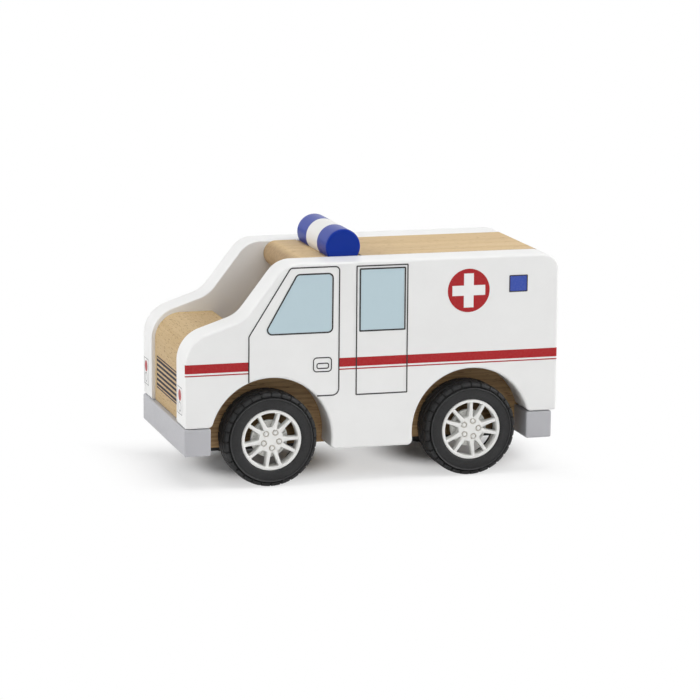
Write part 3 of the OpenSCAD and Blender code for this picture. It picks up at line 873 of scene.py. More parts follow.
@dataclass
class SidePanel:
    """One lacquered side panel: its outline lofted from the inner face over both round-overs."""

    side: Side
    front_x: float = 64.8
    rear_x: float = -65.0
    roof_z: float = 75.0
    belly_z: float = 11.7
    bumper_z: float = 21.1
    inner_y: float = 19.1
    outer_y: float = 31.5
    edge_r: float = 0.8
    edge_margin: float = 0.08
    inner_r: float = 0.4
    inner_margin: float = 0.3
    corner_r: float = 1.8
    heel_r: float = 0.9
    tail_r: float = 5.5
    nose_z: float = 50.2
    nose_r: float = 11.0
    cowl_run: float = 20.2
    cowl_r: float = 11.0
    brow_r: float = 9.5
    bonnet_pitch: float = 18.6
    pillar_pitch: float = 52.4
    arch_r: float = 20.8
    arch_z: float = 16.2
    axles: Pair = (35.3, -34.5)
    step: float = 3.0

    def arch(self, x: float, rear_z: float, front_z: float) -> list[Arc]:
        """Rear corner, hollow and front corner of a wheel arch.

        Args:
            x: the arch's middle.
            rear_z: height of the lower edge behind it.
            front_z: height of the lower edge in front of it.

        Returns:
            The three arcs from rear to front.
        """
        def corner(z: float, way: int) -> Pair:
            """Centre of the corner arc between the level edge and the hollow."""
            rise = z + self.corner_r - self.arch_z
            return (x + way * math.sqrt((self.arch_r + self.corner_r) ** 2 - rise ** 2), z + self.corner_r)

        def heading(a: Sequence[float], b: Sequence[float], low: float) -> float:
            """Direction from a to b in degrees, at or above low."""
            t = math.degrees(math.atan2(b[1] - a[1], b[0] - a[0]))
            return t + 360 if t < low else t

        c, p, q = (x, self.arch_z), corner(rear_z, -1), corner(front_z, 1)
        return [
            Arc(p, self.corner_r, -90, heading(p, c, -90)),
            Arc(c, self.arch_r, heading(c, p, 90), heading(c, q, -90), -1, True),
            Arc(q, self.corner_r, heading(q, c, 90), 270, 1, True),
        ]

    def arcs(self) -> list[Arc]:
        """The outline's arcs, turning left from the lower front corner. Straight lines join them."""
        pitches = [math.radians(t) for t in (self.bonnet_pitch, self.pillar_pitch)]
        bonnet, pillar = (np.array([math.sin(t), math.cos(t)]) for t in pitches)
        roof = np.array([0.0, 1.0])
        cowl = np.array([self.front_x - self.cowl_run, self.nose_z + self.cowl_run * math.tan(pitches[0])])
        brow = np.array([cowl[0] - (self.roof_z - cowl[1]) / math.tan(pitches[1]), self.roof_z])
        nose_c = (self.front_x - self.nose_r, self.nose_z - self.nose_r * (1 - bonnet[0]) / bonnet[1])
        cowl_c = tuple(cowl + self.cowl_r * (bonnet + pillar) / (1 + bonnet @ pillar))
        brow_c = tuple(brow - self.brow_r * (pillar + roof) / (1 + pillar @ roof))
        r, t = self.heel_r, self.tail_r
        return [
            Arc((self.front_x - r, self.bumper_z + r), r, -90, 0),
            Arc(nose_c, self.nose_r, 0, 90 - self.bonnet_pitch),
            Arc(cowl_c, self.cowl_r, 270 - self.bonnet_pitch, 270 - self.pillar_pitch, -1),
            Arc(brow_c, self.brow_r, 90 - self.pillar_pitch, 90),
            Arc((self.rear_x + t, self.roof_z - t), t, 90, 180),
            Arc((self.rear_x + r, self.bumper_z + r), r, 180, 270),
            *self.arch(self.axles[1], self.bumper_z, self.belly_z),
            *self.arch(self.axles[0], self.belly_z, self.bumper_z),
        ]

    def shell(self) -> Shell:
        """Rings of the outline at quarter-circle insets, with a flat margin ring inside each face.

        Returns:
            The closed panel on its side.
        """
        r, edge = self.inner_r, self.edge_r
        inner = [(r * (1 - math.sin(a)), self.inner_y + r * (1 - math.cos(a))) for a in QUARTER]
        outer = [(edge * (1 - math.cos(a)), self.outer_y - edge * (1 - math.sin(a))) for a in QUARTER]
        levels = [(r + self.inner_margin, self.inner_y), *inner, *outer,
                  (edge + self.edge_margin, self.outer_y)]
        arcs = self.arcs()
        rings = [upright(np.concatenate([arc.points(inset, self.step) for arc in arcs]), y)
                 for inset, y in levels]
        return Shell(np.concatenate(rings), capped_faces(len(rings), len(rings[0]))).mirrored(self.side)

    def build(self) -> None:
        """Makes the panel."""
        name = self.side.name.lower()
        Workshop.piece(f"lacquered_panel_{name}", self.shell(), WHITE, Body.CHASSIS, Slot.WHITE,
                       [f"side_panel_{name}"])


@dataclass
class PanelPrint:
    """The print on a side panel's outer face: doors, panes, handle, stripes, first-aid sign and lamp."""

    panel: SidePanel
    lift: float = 0.03
    door_line: float = 0.42
    pane_line: float = 0.5
    thin_line: float = 0.36
    pane_shift: Pair = (0.34, -0.08)
    front_door: Path = (
        (43.12, 35.82), (43.1, 51.29), (28.9, 73.65), (12.13, 73.66), (12.18, 30.24), (19.67, 30.24))
    front_door_r: tuple[float, ...] = (0, 1.6, 1.4, 1.4, 2.3, 0)
    front_pane: Path = ((37.91, 51.64), (26.6, 71.41), (14.33, 71.42), (14.45, 51.65))
    front_pane_r: float = 1.6
    slide_door: Quad = (-11.55, 6.13, 30.05, 73.47)
    slide_door_r: float = 0.12
    slide_pane: Quad = (-10.67, 4.94, 51.57, 72.47)
    slide_pane_r: float = 0.15
    handle: Quad = (14.76, 20.95, 38.43, 43.12)
    handle_r: float = 1.1
    grip: Quad = (15.76, 19.75, 39.52, 41.22)
    grip_r: float = 0.6
    stripes: Path = ((39.73, 42.73), (38.72, 39.12))
    stripe_runs: Path = ((43.1, 64.8), (-65.0, 12.2))
    stripe_wrap: float = 62
    sign: Pair = (-33.02, 63.71)
    sign_r: float = 7.39
    cross_len: float = 11.6
    cross_w: float = 3.45
    lamp: Quad = (-53.71, -47.52, 62.73, 68.16)
    lamp_r: float = 0.12

    def on_face(self, flat: Shell, layer: int = 1) -> Shell:
        """Puts a flat shell of X and Z on the panel's outer face, a few hundredths of a millimetre out.

        Args:
            flat: shell in the plane.
            layer: higher layers lie further out.

        Returns:
            The shell on its side, facing outwards.
        """
        points = upright(flat.points, self.panel.outer_y + self.lift * layer)
        return Shell(points, [f[::-1] for f in flat.faces]).mirrored(self.panel.side)

    def stripe(self, start: float, stop: float, low: float, high: float) -> Shell:
        """A stripe along X that follows the round-over at the panel's front and rear edges.

        On the round-over a column lies at angle t: x = edge - r + r sin t, y = face - r + r cos t, with r the
        edge radius plus the ink's lift.

        Args:
            start: lower X.
            stop: higher X.
            low: lower Z.
            high: higher Z.

        Returns:
            The stripe on its side.
        """
        panel, r = self.panel, self.panel.edge_r + self.lift
        t = np.radians(np.linspace(0, self.stripe_wrap, 8))
        x, y = np.array([start, stop], float), np.full(2, panel.outer_y + self.lift)
        bend_x, bend_y = r * np.sin(t), panel.outer_y - panel.edge_r + r * np.cos(t)
        if stop >= panel.front_x:
            x = np.concatenate([x[:1], panel.front_x - panel.edge_r + bend_x])
            y = np.concatenate([y[:1], bend_y])
        if start <= panel.rear_x:
            x = np.concatenate([(panel.rear_x + panel.edge_r - bend_x)[::-1], x[1:]])
            y = np.concatenate([bend_y[::-1], y[1:]])
        rows = [np.column_stack([x, y, np.full(len(x), z)]) for z in (low, high)]
        faces = [f[::-1] for f in grid_faces(2, len(x))]
        return Shell(np.concatenate(rows), faces).mirrored(panel.side)

    def cross(self) -> Array:
        """Outline of the even-armed cross: one arm's three corners in each quarter turn."""
        a, b = self.cross_w / 2, self.cross_len / 2
        arm = np.array([(a, -a), (b, -a), (b, a)])
        turns = [np.array([(c, -s), (s, c)]) for c, s in ((1, 0), (0, 1), (-1, 0), (0, -1))]
        return np.concatenate([arm @ turn.T for turn in turns]) + self.sign

    def build(self) -> None:
        """Makes one piece of each ink colour."""
        side = self.panel.side.name.lower()
        pane = filleted(self.front_pane, self.front_pane_r)
        slide_door, slide_pane, handle, grip, lamp = (
            filleted(box_path(*box), r) for box, r in (
                (self.slide_door, self.slide_door_r), (self.slide_pane, self.slide_pane_r),
                (self.handle, self.handle_r), (self.grip, self.grip_r), (self.lamp, self.lamp_r)))
        lines = [
            (filleted(self.front_door, self.front_door_r, False), self.door_line, False),
            (pane, self.pane_line, True),
            (slide_door, self.door_line, True),
            (slide_pane, self.pane_line, True),
            (handle, self.thin_line, True),
            (grip, self.thin_line, True),
            (lamp, self.thin_line, True),
        ]
        panes = [self.on_face(patch(outline + self.pane_shift)) for outline in (pane, slide_pane)]
        stripes = [self.stripe(*run, *band) for run in self.stripe_runs for band in self.stripes]
        groups: list[tuple[str, Shell, Finish]] = [
            ("lines", Shell.joined([self.on_face(ribbon(*line), 3) for line in lines]), BLACK_INK),
            ("panes", Shell.joined(panes), PANE_INK),
            ("stripes", Shell.joined(stripes), RED_INK),
            ("sign_disc", self.on_face(patch(circle(self.sign, self.sign_r))), RED_INK),
            ("sign_cross", self.on_face(patch(self.cross()), 2), WHITE_INK),
            ("lamp", self.on_face(patch(lamp)), BLUE_INK),
        ]
        for name, shell, ink in groups:
            Workshop.piece(f"print_{name}_{side}", shell, ink, Body.CHASSIS, Slot.WHITE, solid=False)


@dataclass
class FrontPrint:
    """The print on the toy's front: a lamp frame on each panel's front edge and the grille on the core."""

    panel_x: float = 64.8
    core_x: float = 63.4
    lift: float = 0.03
    lamps_y: Pair = (24.1, -26.76)
    reds_y: Pair = (24.2, -27.2)
    lamp_w: float = 6.66
    lamp_z: Pair = (25.1, 34.1)
    lamp_r: float = 0.1
    red_z: float = 31.4
    red_r: float = 1.95
    clear_z: float = 27.5
    clear_r: float = 1.56
    clear_line: float = 0.286
    line: float = 0.22
    grille_y: Pair = (-16.35, 16.27)
    grille_z: Pair = (26.13, 36.85)
    bars_z: Pair = (27.27, 35.68)
    bar_count: int = 6
    bar_h: float = 0.92
    rail_h: float = 0.484

    def on_front(self, flat: Shell, x: float) -> Shell:
        """Puts a flat shell of Y and Z on a plane that faces forwards."""
        p = flat.points
        return Shell(np.column_stack([np.full(len(p), x + self.lift), p]), flat.faces)

    def build(self) -> None:
        """Makes the lamp frames, the red lamps and the grille."""
        frames, reds = [], []
        for y, red_y in zip(self.lamps_y, self.reds_y):
            rim = filleted(box_path(y - self.lamp_w / 2, y + self.lamp_w / 2, *self.lamp_z), self.lamp_r)
            clear = circle((red_y, self.clear_z), self.clear_r)
            frames += [ribbon(rim, self.line, True), ribbon(clear, self.clear_line, True)]
            reds.append(patch(circle((red_y, self.red_z), self.red_r, 48)))
        low, high = self.grille_z
        places = [low, *np.linspace(*self.bars_z, self.bar_count), high]
        heights = [self.rail_h, *[self.bar_h] * self.bar_count, self.rail_h]
        bars = [patch(box_path(*self.grille_y, z - h / 2, z + h / 2)) for z, h in zip(places, heights)]
        ends = [patch(box_path(y - self.line, y + self.line, low, high)) for y in self.grille_y]
        pieces: list[tuple[str, list[Shell], float, Finish, Slot]] = [
            ("print_lamp_frames", frames, self.panel_x, THIN_INK, Slot.WHITE),
            ("print_red_lamps", reds, self.panel_x, RED_INK, Slot.WHITE),
            ("print_grille", bars + ends, self.core_x, GRILLE_INK, Slot.CORE),
        ]
        for name, parts, x, ink, slot in pieces:
            shell = Shell.joined([self.on_front(p, x) for p in parts])
            Workshop.piece(name, shell, ink, Body.CHASSIS, slot, solid=False)


@dataclass
class Core:
    """The beech core: its side view carried across the toy, with the open cab and the axle tunnels."""

    half_w: float = 19.1
    front_x: float = 63.4
    rear_x: float = -62.0
    belly_z: float = 11.7
    bumper_z: float = 20.9
    front_notch_x: float = 55.9
    rear_notch_x: float = -54.3
    bonnet_rear_x: float = 42.9
    bonnet_z: float = 51.3
    bonnet_r: float = 9.0
    cab_rear_x: float = 11.9
    cab_z: float = 40.0
    cab_r: float = 5.0
    roof_z: float = 75.0
    roof_t: float = 8.8
    roof_nose_x: float = 25.0
    roof_nose_r: float = 4.39
    bar_x: float = 7.2
    seat_half: float = 6.3
    seat_depth: float = 0.4
    axles: Pair = (35.3, -34.5)
    axle_z: float = 16.0
    tunnel_r: float = 3.0
    tunnel_top_r: float = 2.95
    edge_r: float = 0.5
    sharp_r: float = 0.05
    tail_r: float = 1.6
    chords: int = 14

    def outline(self) -> Array:
        """The side view, turning left from the rear notch along the belly, with every corner filleted."""
        e, tiny, cab_r, nose_r = self.edge_r, self.sharp_r, self.cab_r, self.roof_nose_r
        under, seat_z = self.roof_z - self.roof_t, self.roof_z - self.seat_depth
        top_z = self.axle_z + self.tunnel_r
        tunnels: list[Triple] = []
        for x in sorted(self.axles):
            rear, front = x - self.tunnel_r, x + self.tunnel_r
            tunnels += [(rear, self.belly_z, tiny), (rear, top_z, self.tunnel_top_r),
                        (front, top_z, self.tunnel_top_r), (front, self.belly_z, tiny)]
        rear, front = self.bar_x - self.seat_half, self.bar_x + self.seat_half
        table = np.array([
            (self.rear_notch_x, self.belly_z, e), *tunnels, (self.front_notch_x, self.belly_z, e),
            (self.front_notch_x, self.bumper_z, tiny), (self.front_x, self.bumper_z, e),
            (self.front_x, self.bonnet_z, self.bonnet_r), (self.bonnet_rear_x, self.bonnet_z, e),
            (self.bonnet_rear_x, self.cab_z, cab_r), (self.cab_rear_x, self.cab_z, cab_r),
            (self.cab_rear_x, under, cab_r), (self.roof_nose_x, under, nose_r),
            (self.roof_nose_x, self.roof_z, nose_r), (front, self.roof_z, tiny), (front, seat_z, tiny),
            (rear, seat_z, tiny), (rear, self.roof_z, tiny), (self.rear_x, self.roof_z, self.tail_r),
            (self.rear_x, self.bumper_z, e), (self.rear_notch_x, self.bumper_z, tiny),
        ])
        return filleted(table[:, :2], table[:, 2], True, self.chords)

    def build(self) -> None:
        """Carries the outline from one side to the other and closes both ends with a flat face."""
        path = self.outline()
        points = np.concatenate([upright(path, y) for y in (-self.half_w, self.half_w)])
        shell = Shell(points, capped_faces(2, len(path)))
        Workshop.piece("beech_core", shell, BEECH, Body.CHASSIS, Slot.CORE, ["core_block"], crease=25)


@dataclass
class Bumpers:
    """The two grey bumper bars across the toy."""

    front_x: float = 65.0
    rear_x: float = -63.4
    length: float = 9.1
    half_w: float = 31.5
    low_z: float = 11.7
    high_z: float = 20.9
    edge_r: float = 0.65

    def build(self) -> None:
        """Makes both bars."""
        for name, x in (("front", self.front_x - self.length), ("rear", self.rear_x)):
            low, high = (x, -self.half_w, self.low_z), (x + self.length, self.half_w, self.high_z)
            Workshop.piece(f"grey_bumper_{name}", rounded_block(low, high, self.edge_r), GREY, Body.CHASSIS,
                           Slot.GREY, [f"{name}_bumper"])


@dataclass
class LightBar:
    """The turned bar on the roof, planed flat where it sits in its seat."""

    x: float = 7.2
    z: float = 78.0
    radius: float = 6.0
    length: float = 37.6
    edge_r: float = 0.7
    seat_z: float = 74.6
    face_r: Triple = (0.0, 3.0, 4.6)
    rings: int = 24
    sides: int = 96

    def build(self) -> None:
        """Turns the rounded profile about the bar's axis and holds its points above the seat."""
        tip = -self.length / 2
        face = np.array([(r, tip) for r in self.face_r])
        edge = np.stack([self.radius - self.edge_r * (1 - np.sin(QUARTER)),
                         tip + self.edge_r * (1 - np.cos(QUARTER))], -1)
        along = np.linspace(edge[-1, 1], -edge[-1, 1], self.rings + 2)[1:-1]
        half = np.concatenate([face, edge])
        body = np.stack([np.full(self.rings, self.radius), along], -1)
        shell = lathe(np.concatenate([half, body, (half * (1, -1))[::-1]]), self.sides, False)
        shell.points = shell.points + (self.x, 0, self.z)
        shell.points[:, 2] = np.maximum(shell.points[:, 2], self.seat_z)
        Workshop.piece("turned_light_bar", shell, BLUE, Body.CHASSIS, Slot.BLUE, ["light_bar"], crease=40)


@dataclass
class Tyre:
    """A treaded tyre about the Y axis, with Y counted outwards from its inner wall.

    The wall lists radii with their distances from the middle, as shares of half the width. The ring beside
    the tread gets painted light: a painted highlight on its ridge and painted shade in its groove.
    """

    radius: float = 16.0
    width: float = 12.0
    count: int = 28
    gap: float = 0.56
    gap_wall: float = 0.004
    gap_low_r: float = 14.6
    gap_in_share: float = 0.33
    gap_depths: Pair = (0.95, 0.16)
    # Depth of a gap at which its painted shade is full.
    gap_shade_depth: float = 0.4
    wall: Path = (
        (10.02, 0.76), (10.04, 0.775), (10.32, 0.78), (10.34, 0.9), (10.4, 0.93), (10.55, 0.955),
        (10.9, 0.978), (11.4, 0.988), (11.7, 0.989), (12.0, 0.987), (12.7, 0.974), (13.3, 0.956),
        (13.66, 0.944), (13.8, 0.96), (13.9, 0.988), (13.98, 1.0), (14.1, 1.0), (14.18, 0.985),
        (14.25, 0.93), (14.31, 0.86), (14.42, 0.832), (14.53, 0.86), (14.61, 0.9), (14.9, 0.908),
        (15.2, 0.896), (15.45, 0.87), (15.66, 0.83), (15.82, 0.78), (15.93, 0.715), (15.985, 0.65),
        (16.0, 0.58), (16.0, 0.5), (16.0, 0.42), (16.0, 0.345), (15.93, 0.33), (15.44, 0.315),
        (15.4, 0.3), (15.4, 0.23), (15.44, 0.215), (15.93, 0.2), (16.0, 0.185), (16.0, 0.09))
    hollow: Path = ((10.02, 7.4), (11.6, 7.4), (11.6, 0.12))
    # Radii of the ring and its shading: below zero a painted highlight on the ridge, above zero painted shade
    # in the groove.
    ring_r: tuple[float, ...] = (13.8, 13.95, 14.08, 14.2, 14.28, 14.54, 14.66)
    ring_tint: tuple[float, ...] = (0, -0.42, -0.42, 0, 1, 1, 0)

    def profile(self) -> tuple[Array, Array]:
        """The section from the hollow behind the rim over the crown to the outer bead.

        Returns:
            Points of radius and Y, and for each point the gap's depth there: plus on the outer shoulder,
            minus on the inner one.
        """
        r, share = np.array(self.wall).T
        depth = np.interp(r, (self.gap_low_r, self.radius), self.gap_depths)
        cut = np.where((share > self.gap_in_share) & (r > self.gap_low_r), depth, 0.0)
        outer, inner = (np.stack([r, self.width / 2 * (1 + way * share)], -1) for way in (1, -1))
        rest = r > self.hollow[-1][0]
        path = np.concatenate([self.hollow, inner[rest], outer[::-1]])
        return path, np.concatenate([np.zeros(len(self.hollow)), -cut[rest], cut[::-1]])

    def shell(self) -> Shell:
        """The section carried round the axis, sunk along its own normal where a gap crosses a shoulder.

        The gaps of the two shoulders are half a pitch apart. Columns stand at both edges of each gap's wall.

        Returns:
            The closed tyre.
        """
        section, cut = self.profile()
        along = np.gradient(section, axis=0)
        normal = unit(np.stack([along[:, 1], -along[:, 0]], -1))
        pitch, half = 2 * math.pi / self.count, self.gap / 2 / self.radius
        near = np.array([-half - self.gap_wall, -half, half, half + self.gap_wall])
        places = np.concatenate([near, [pitch / 6, pitch / 3], near + pitch / 2,
                                 [pitch * 2 / 3, pitch * 5 / 6]])
        in_outer = np.concatenate([[0, 1, 1, 0], np.zeros(8)])
        in_inner = np.roll(in_outer, 6)
        angles = (np.arange(self.count)[:, None] * pitch + places).ravel()
        outer, inner = np.tile(in_outer, self.count), np.tile(in_inner, self.count)
        sink = np.maximum(cut, 0)[:, None] * outer + np.maximum(-cut, 0)[:, None] * inner
        r = section[:, :1] - normal[:, :1] * sink
        y = section[:, 1:] - normal[:, 1:] * sink
        points = np.stack([r * np.cos(angles), y, r * np.sin(angles)], -1)
        # Painted light: painted shade in the gaps by their depth, and the ring's painted highlight and shade.
        ring = np.interp(section[:, 0], self.ring_r, self.ring_tint) * (section[:, 1] > self.width / 2)
        tint = np.where(sink > 0, np.clip(sink / self.gap_shade_depth, 0, 1), ring[:, None])
        return Shell(points.reshape(-1, 3), grid_faces(len(section), len(angles), True, True), tint.ravel())


@dataclass
class Rim:
    """A moulded rim: lip and barrel, spoke pairs, and a hub with lug nuts in ring recesses.

    Flares hold their size and the length over which they fade. The dip holds its depth, the radius where it
    starts and its run. Soft edges hold how far they reach past their radius and their run.
    """

    turn: float
    face: float = 11.7
    back: float = 7.4
    lip_r: float = 10.3
    lip_in_r: float = 9.2
    lip_t: float = 1.0
    barrel_r: float = 10.0
    barrel_in_r: float = 9.1
    barrel_set: float = 0.1
    ring_edges: tuple[float, ...] = (0.15, 0.15, 0.02, 0.1, 0.38, 0.3, 0.04, 0.04)
    hub_r: float = 4.3
    hub_face: float = 11.2
    hub_edge_r: float = 0.25
    hub_crown: float = 0.12
    hub_eye_r: float = 0.02
    disc_face: float = 8.6
    boss_r: float = 3.0
    bore_r: float = 1.52
    boss_back: float = -0.5
    pairs: int = 5
    pair_angle: float = 29.0
    spoke_root_w: float = 1.45
    spoke_tip_w: float = 1.1
    spoke_set: float = 0.25
    spoke_depth: float = 2.4
    spoke_reach: Quad = (-0.7, 1.4, 2.0, 9.45)
    spoke_section: Path = ((-1.1, 0), (1.1, 0), (0.92, 1), (-0.92, 1))
    spoke_edges: Quad = (0.05, 0.05, 0.25, 0.25)
    spoke_dip: Triple = (0.25, 7.5, 3.5)
    root_flare: Pair = (0.35, 0.8)
    tip_flare: Pair = (0.25, 0.35)
    lug_ring_r: float = 2.8
    lug_room: Pair = (1.25, 1.2)
    lug_recess_r: float = 1.12
    lug_recess_soft: Pair = (0.12, 0.45)
    lug_nut_r: float = 0.7
    lug_nut_soft: Pair = (0.14, 0.28)
    lug_dome: float = 0.2
    lug_depth: float = 0.6

    def ring(self) -> Shell:
        """Lip and barrel: one closed section turned about the axis, with rounded lip edges."""
        f, step = self.face, self.face - self.lip_t
        corners = [
            (self.barrel_in_r, self.back), (self.barrel_r, self.back), (self.barrel_r, step),
            (self.lip_r, step), (self.lip_r, f), (self.lip_in_r, f), (self.lip_in_r, step),
            (self.barrel_in_r, step - self.barrel_set)]
        return lathe(filleted(corners, self.ring_edges, True, 6), 144, True)

    def spokes(self) -> list[Shell]:
        """Spokes as sections carried outwards along a radius: a rounded bar, wider at its back.

        The width at radius r is root + (tip - root) t plus flares that fade away from the hub and from the
        lip. The top dips towards the hub.

        Returns:
            One shell a spoke.
        """
        start, flared, straight, stop = self.spoke_reach
        r = np.concatenate([np.linspace(self.hub_r + start, self.hub_r + flared, 9),
                            np.linspace(self.hub_r + straight, stop, 7)])
        t = np.clip((r - self.hub_r) / (self.lip_in_r - self.hub_r), 0, 1)
        flares = [size * np.exp(-np.maximum(away, 0) / run) for (size, run), away in (
            (self.root_flare, r - self.hub_r), (self.tip_flare, self.lip_in_r - r))]
        half = (self.spoke_root_w + (self.spoke_tip_w - self.spoke_root_w) * t + (flares[0] + flares[1])) / 2
        dip, dip_r, dip_run = self.spoke_dip
        top = self.face - self.spoke_set - dip * np.clip((dip_r - r) / dip_run, 0, 1)
        low = self.face - self.spoke_set - self.spoke_depth
        section = filleted(self.spoke_section, self.spoke_edges, True, 4)
        across = half[:, None] * section[:, 0]
        height = low + (top[:, None] - low) * section[:, 1]
        radius = np.broadcast_to(r[:, None], across.shape)
        shells = []
        for i in range(self.pairs):
            for way in (-1, 1):
                a = math.radians(self.turn + 360 * i / self.pairs + way * self.pair_angle / 2)
                x = radius * math.cos(a) - across * math.sin(a)
                z = radius * math.sin(a) + across * math.cos(a)
                shells.append(Shell(np.stack([x, height, z], -1).reshape(-1, 3), capped_faces(*across.shape)))
        return shells

    def hub(self) -> Shell:
        """The hub as a height over radius and angle, closed down its side and across its back.

        The face is crowned. Around each lug's centre, at distance d, a ring recess is cut between the nut and
        the recess edge, and the nut's top is domed.

        Returns:
            The closed hub.
        """
        flat_r = self.hub_r - self.hub_edge_r
        r = np.concatenate([np.linspace(self.hub_eye_r, self.lug_ring_r - self.lug_room[0], 8),
                            np.linspace(self.lug_ring_r - self.lug_room[1], flat_r, 52)])
        a = full_turn(240)
        rr, aa = np.meshgrid(r, a, indexing="ij")
        sector = 2 * np.pi / self.pairs
        off = (aa - math.radians(self.turn) + sector / 2) % sector - sector / 2
        d = np.hypot(rr * np.cos(off) - self.lug_ring_r, rr * np.sin(off))
        edge, nut = (np.clip((size + past - d) / run, 0, 1) for size, (past, run) in (
            (self.lug_recess_r, self.lug_recess_soft), (self.lug_nut_r, self.lug_nut_soft)))
        sunk = edge * edge * (3 - 2 * edge) - nut
        dome = self.lug_dome * np.clip(1 - (d / self.lug_nut_r) ** 2, 0, 1)
        y = self.hub_face + self.hub_crown * (1 - (rr / self.hub_r) ** 2) - self.lug_depth * sunk + dome
        t = np.radians(np.linspace(15, 90, 6))
        rim = np.stack([flat_r + self.hub_edge_r * np.sin(t),
                        self.hub_face - self.hub_edge_r + self.hub_edge_r * np.cos(t)], -1)
        side = np.concatenate([rim, [[self.hub_r, self.disc_face], [self.boss_r, self.disc_face]]])
        # The recess depth also sets the painted shade in the lug recesses.
        tint = np.concatenate([np.clip(sunk, 0, 1), np.zeros((len(side), len(a)))])
        rr = np.concatenate([rr, np.repeat(side[:, :1], len(a), 1)])
        y = np.concatenate([y, np.repeat(side[:, 1:], len(a), 1)])
        points = np.stack([rr * np.cos(a), y, rr * np.sin(a)], -1).reshape(-1, 3)
        return Shell(points, capped_faces(*rr.shape), tint.ravel())

    def boss(self) -> Shell:
        """The boss behind the hub, bored for the axle."""
        section = [(self.bore_r, self.boss_back), (self.boss_r, self.boss_back),
                   (self.boss_r, self.disc_face), (self.bore_r, self.disc_face)]
        return lathe(np.array(section), 48, True)

    def shell(self) -> Shell:
        """The whole rim."""
        return Shell.joined([self.ring(), *self.spokes(), self.hub(), self.boss()])


@dataclass
class Disc:
    """The disc behind the spokes, with groups of shallow radial slots."""

    turn: float
    bore_r: float = 3.02
    radius: float = 6.3
    face: float = 8.6
    thick: float = 1.2
    bevel: float = 0.15
    groups: int = 5
    slots: int = 3
    slot_angle: float = 12.0
    slot_half: float = 2.7
    slot_r: Pair = (4.7, 5.8)
    slot_depth: float = 0.35
    wall: float = 0.06
    wall_angle: float = 0.6
    between: tuple[float, ...] = (-36.0, -30.0, -24.0, 24.0, 30.0)

    def shell(self) -> Shell:
        """The disc's section carried round the axis, sunk inside the slots.

        Rows of equal radius stand at both edges of the slots' end walls, and columns at those of their side
        walls. A few more columns stand between the groups.

        Returns:
            The closed disc.
        """
        (low, high), f = self.slot_r, self.face
        section = np.array([
            (self.bore_r, f - self.thick), (self.bore_r, f), (low - self.wall, f), (low, f), (high, f),
            (high + self.wall, f), (self.radius - self.bevel, f), (self.radius, f - self.bevel),
            (self.radius, f - self.thick)])
        sunk = np.isin(section[:, 0], self.slot_r)
        groups = (np.arange(self.groups)[:, None] + 0.5) * 360 / self.groups
        middles = (groups + self.slot_angle * (np.arange(self.slots) - (self.slots - 1) / 2)).ravel()
        half, out = self.slot_half, self.slot_half + self.wall_angle
        between = np.array(self.between) + groups
        edges = middles[:, None] + np.array([-out, -half, half, out])
        places = np.concatenate([edges.ravel(), between.ravel()])
        inside = np.concatenate([np.tile([0.0, 1.0, 1.0, 0.0], len(middles)), np.zeros(between.size)])
        order = np.argsort(places)
        angles, inside = np.radians(places[order] + self.turn), inside[order]
        y = section[:, 1:] - self.slot_depth * sunk[:, None] * inside
        points = np.stack([section[:, :1] * np.cos(angles), y, section[:, :1] * np.sin(angles)], -1)
        return Shell(points.reshape(-1, 3), grid_faces(len(section), len(angles), True, True))


@dataclass
class WheelSet:
    """One axle's pair of wheels."""

    name: str
    body: Body
    x: float
    turn: float
    axle_z: float = 16.0
    inner_y: float = 20.0
    tyre: Tyre = field(default_factory=Tyre)

    def placed(self, shell: Shell, side: Side) -> Shell:
        """Moves a wheel part out to its side of the axle."""
        moved = Shell(shell.points + (self.x, self.inner_y, self.axle_z), shell.faces, shell.tint)
        return moved.mirrored(side)

    def build(self) -> None:
        """Makes both wheels and dresses the axle."""
        for side in Side:
            word, turn = f"{self.name}_{side.name.lower()}", -self.turn * side.value
            parts: list[tuple[str, Shell, Finish, Slot, float]] = [
                ("tyre", self.tyre.shell(), RUBBER, Slot.TYRE, 32),
                ("rim", Rim(turn).shell(), RIM_PLASTIC, Slot.RIM, 38),
                ("disc", Disc(turn).shell(), DISC_PLASTIC, Slot.DISC, 38),
            ]
            for part, shell, finish, slot, crease in parts:
                Workshop.piece(f"{part}_{word}", self.placed(shell, side), finish, self.body, slot,
                               [f"{word}_{part}"], crease=crease)
        Workshop.dress_node(f"{self.name}_axle", AXLE_STEEL)


@dataclass
class RunningGear:
    """The fixed parts that keep their CAD shape."""

    finishes: tuple[tuple[str, Finish], ...] = (
        ("front_axle_box", BLACK_PLASTIC), ("rear_axle_box", BLACK_PLASTIC), ("panel_dowels", RAW_BEECH),
        ("bumper_dowels", RAW_BEECH), ("light_bar_dowels", RAW_BEECH), ("axle_box_screws", SCREW_STEEL))

    def build(self) -> None:
        """Dresses the boxes, dowels and screws."""
        for node, finish in self.finishes:
            Workshop.dress_node(node, finish)


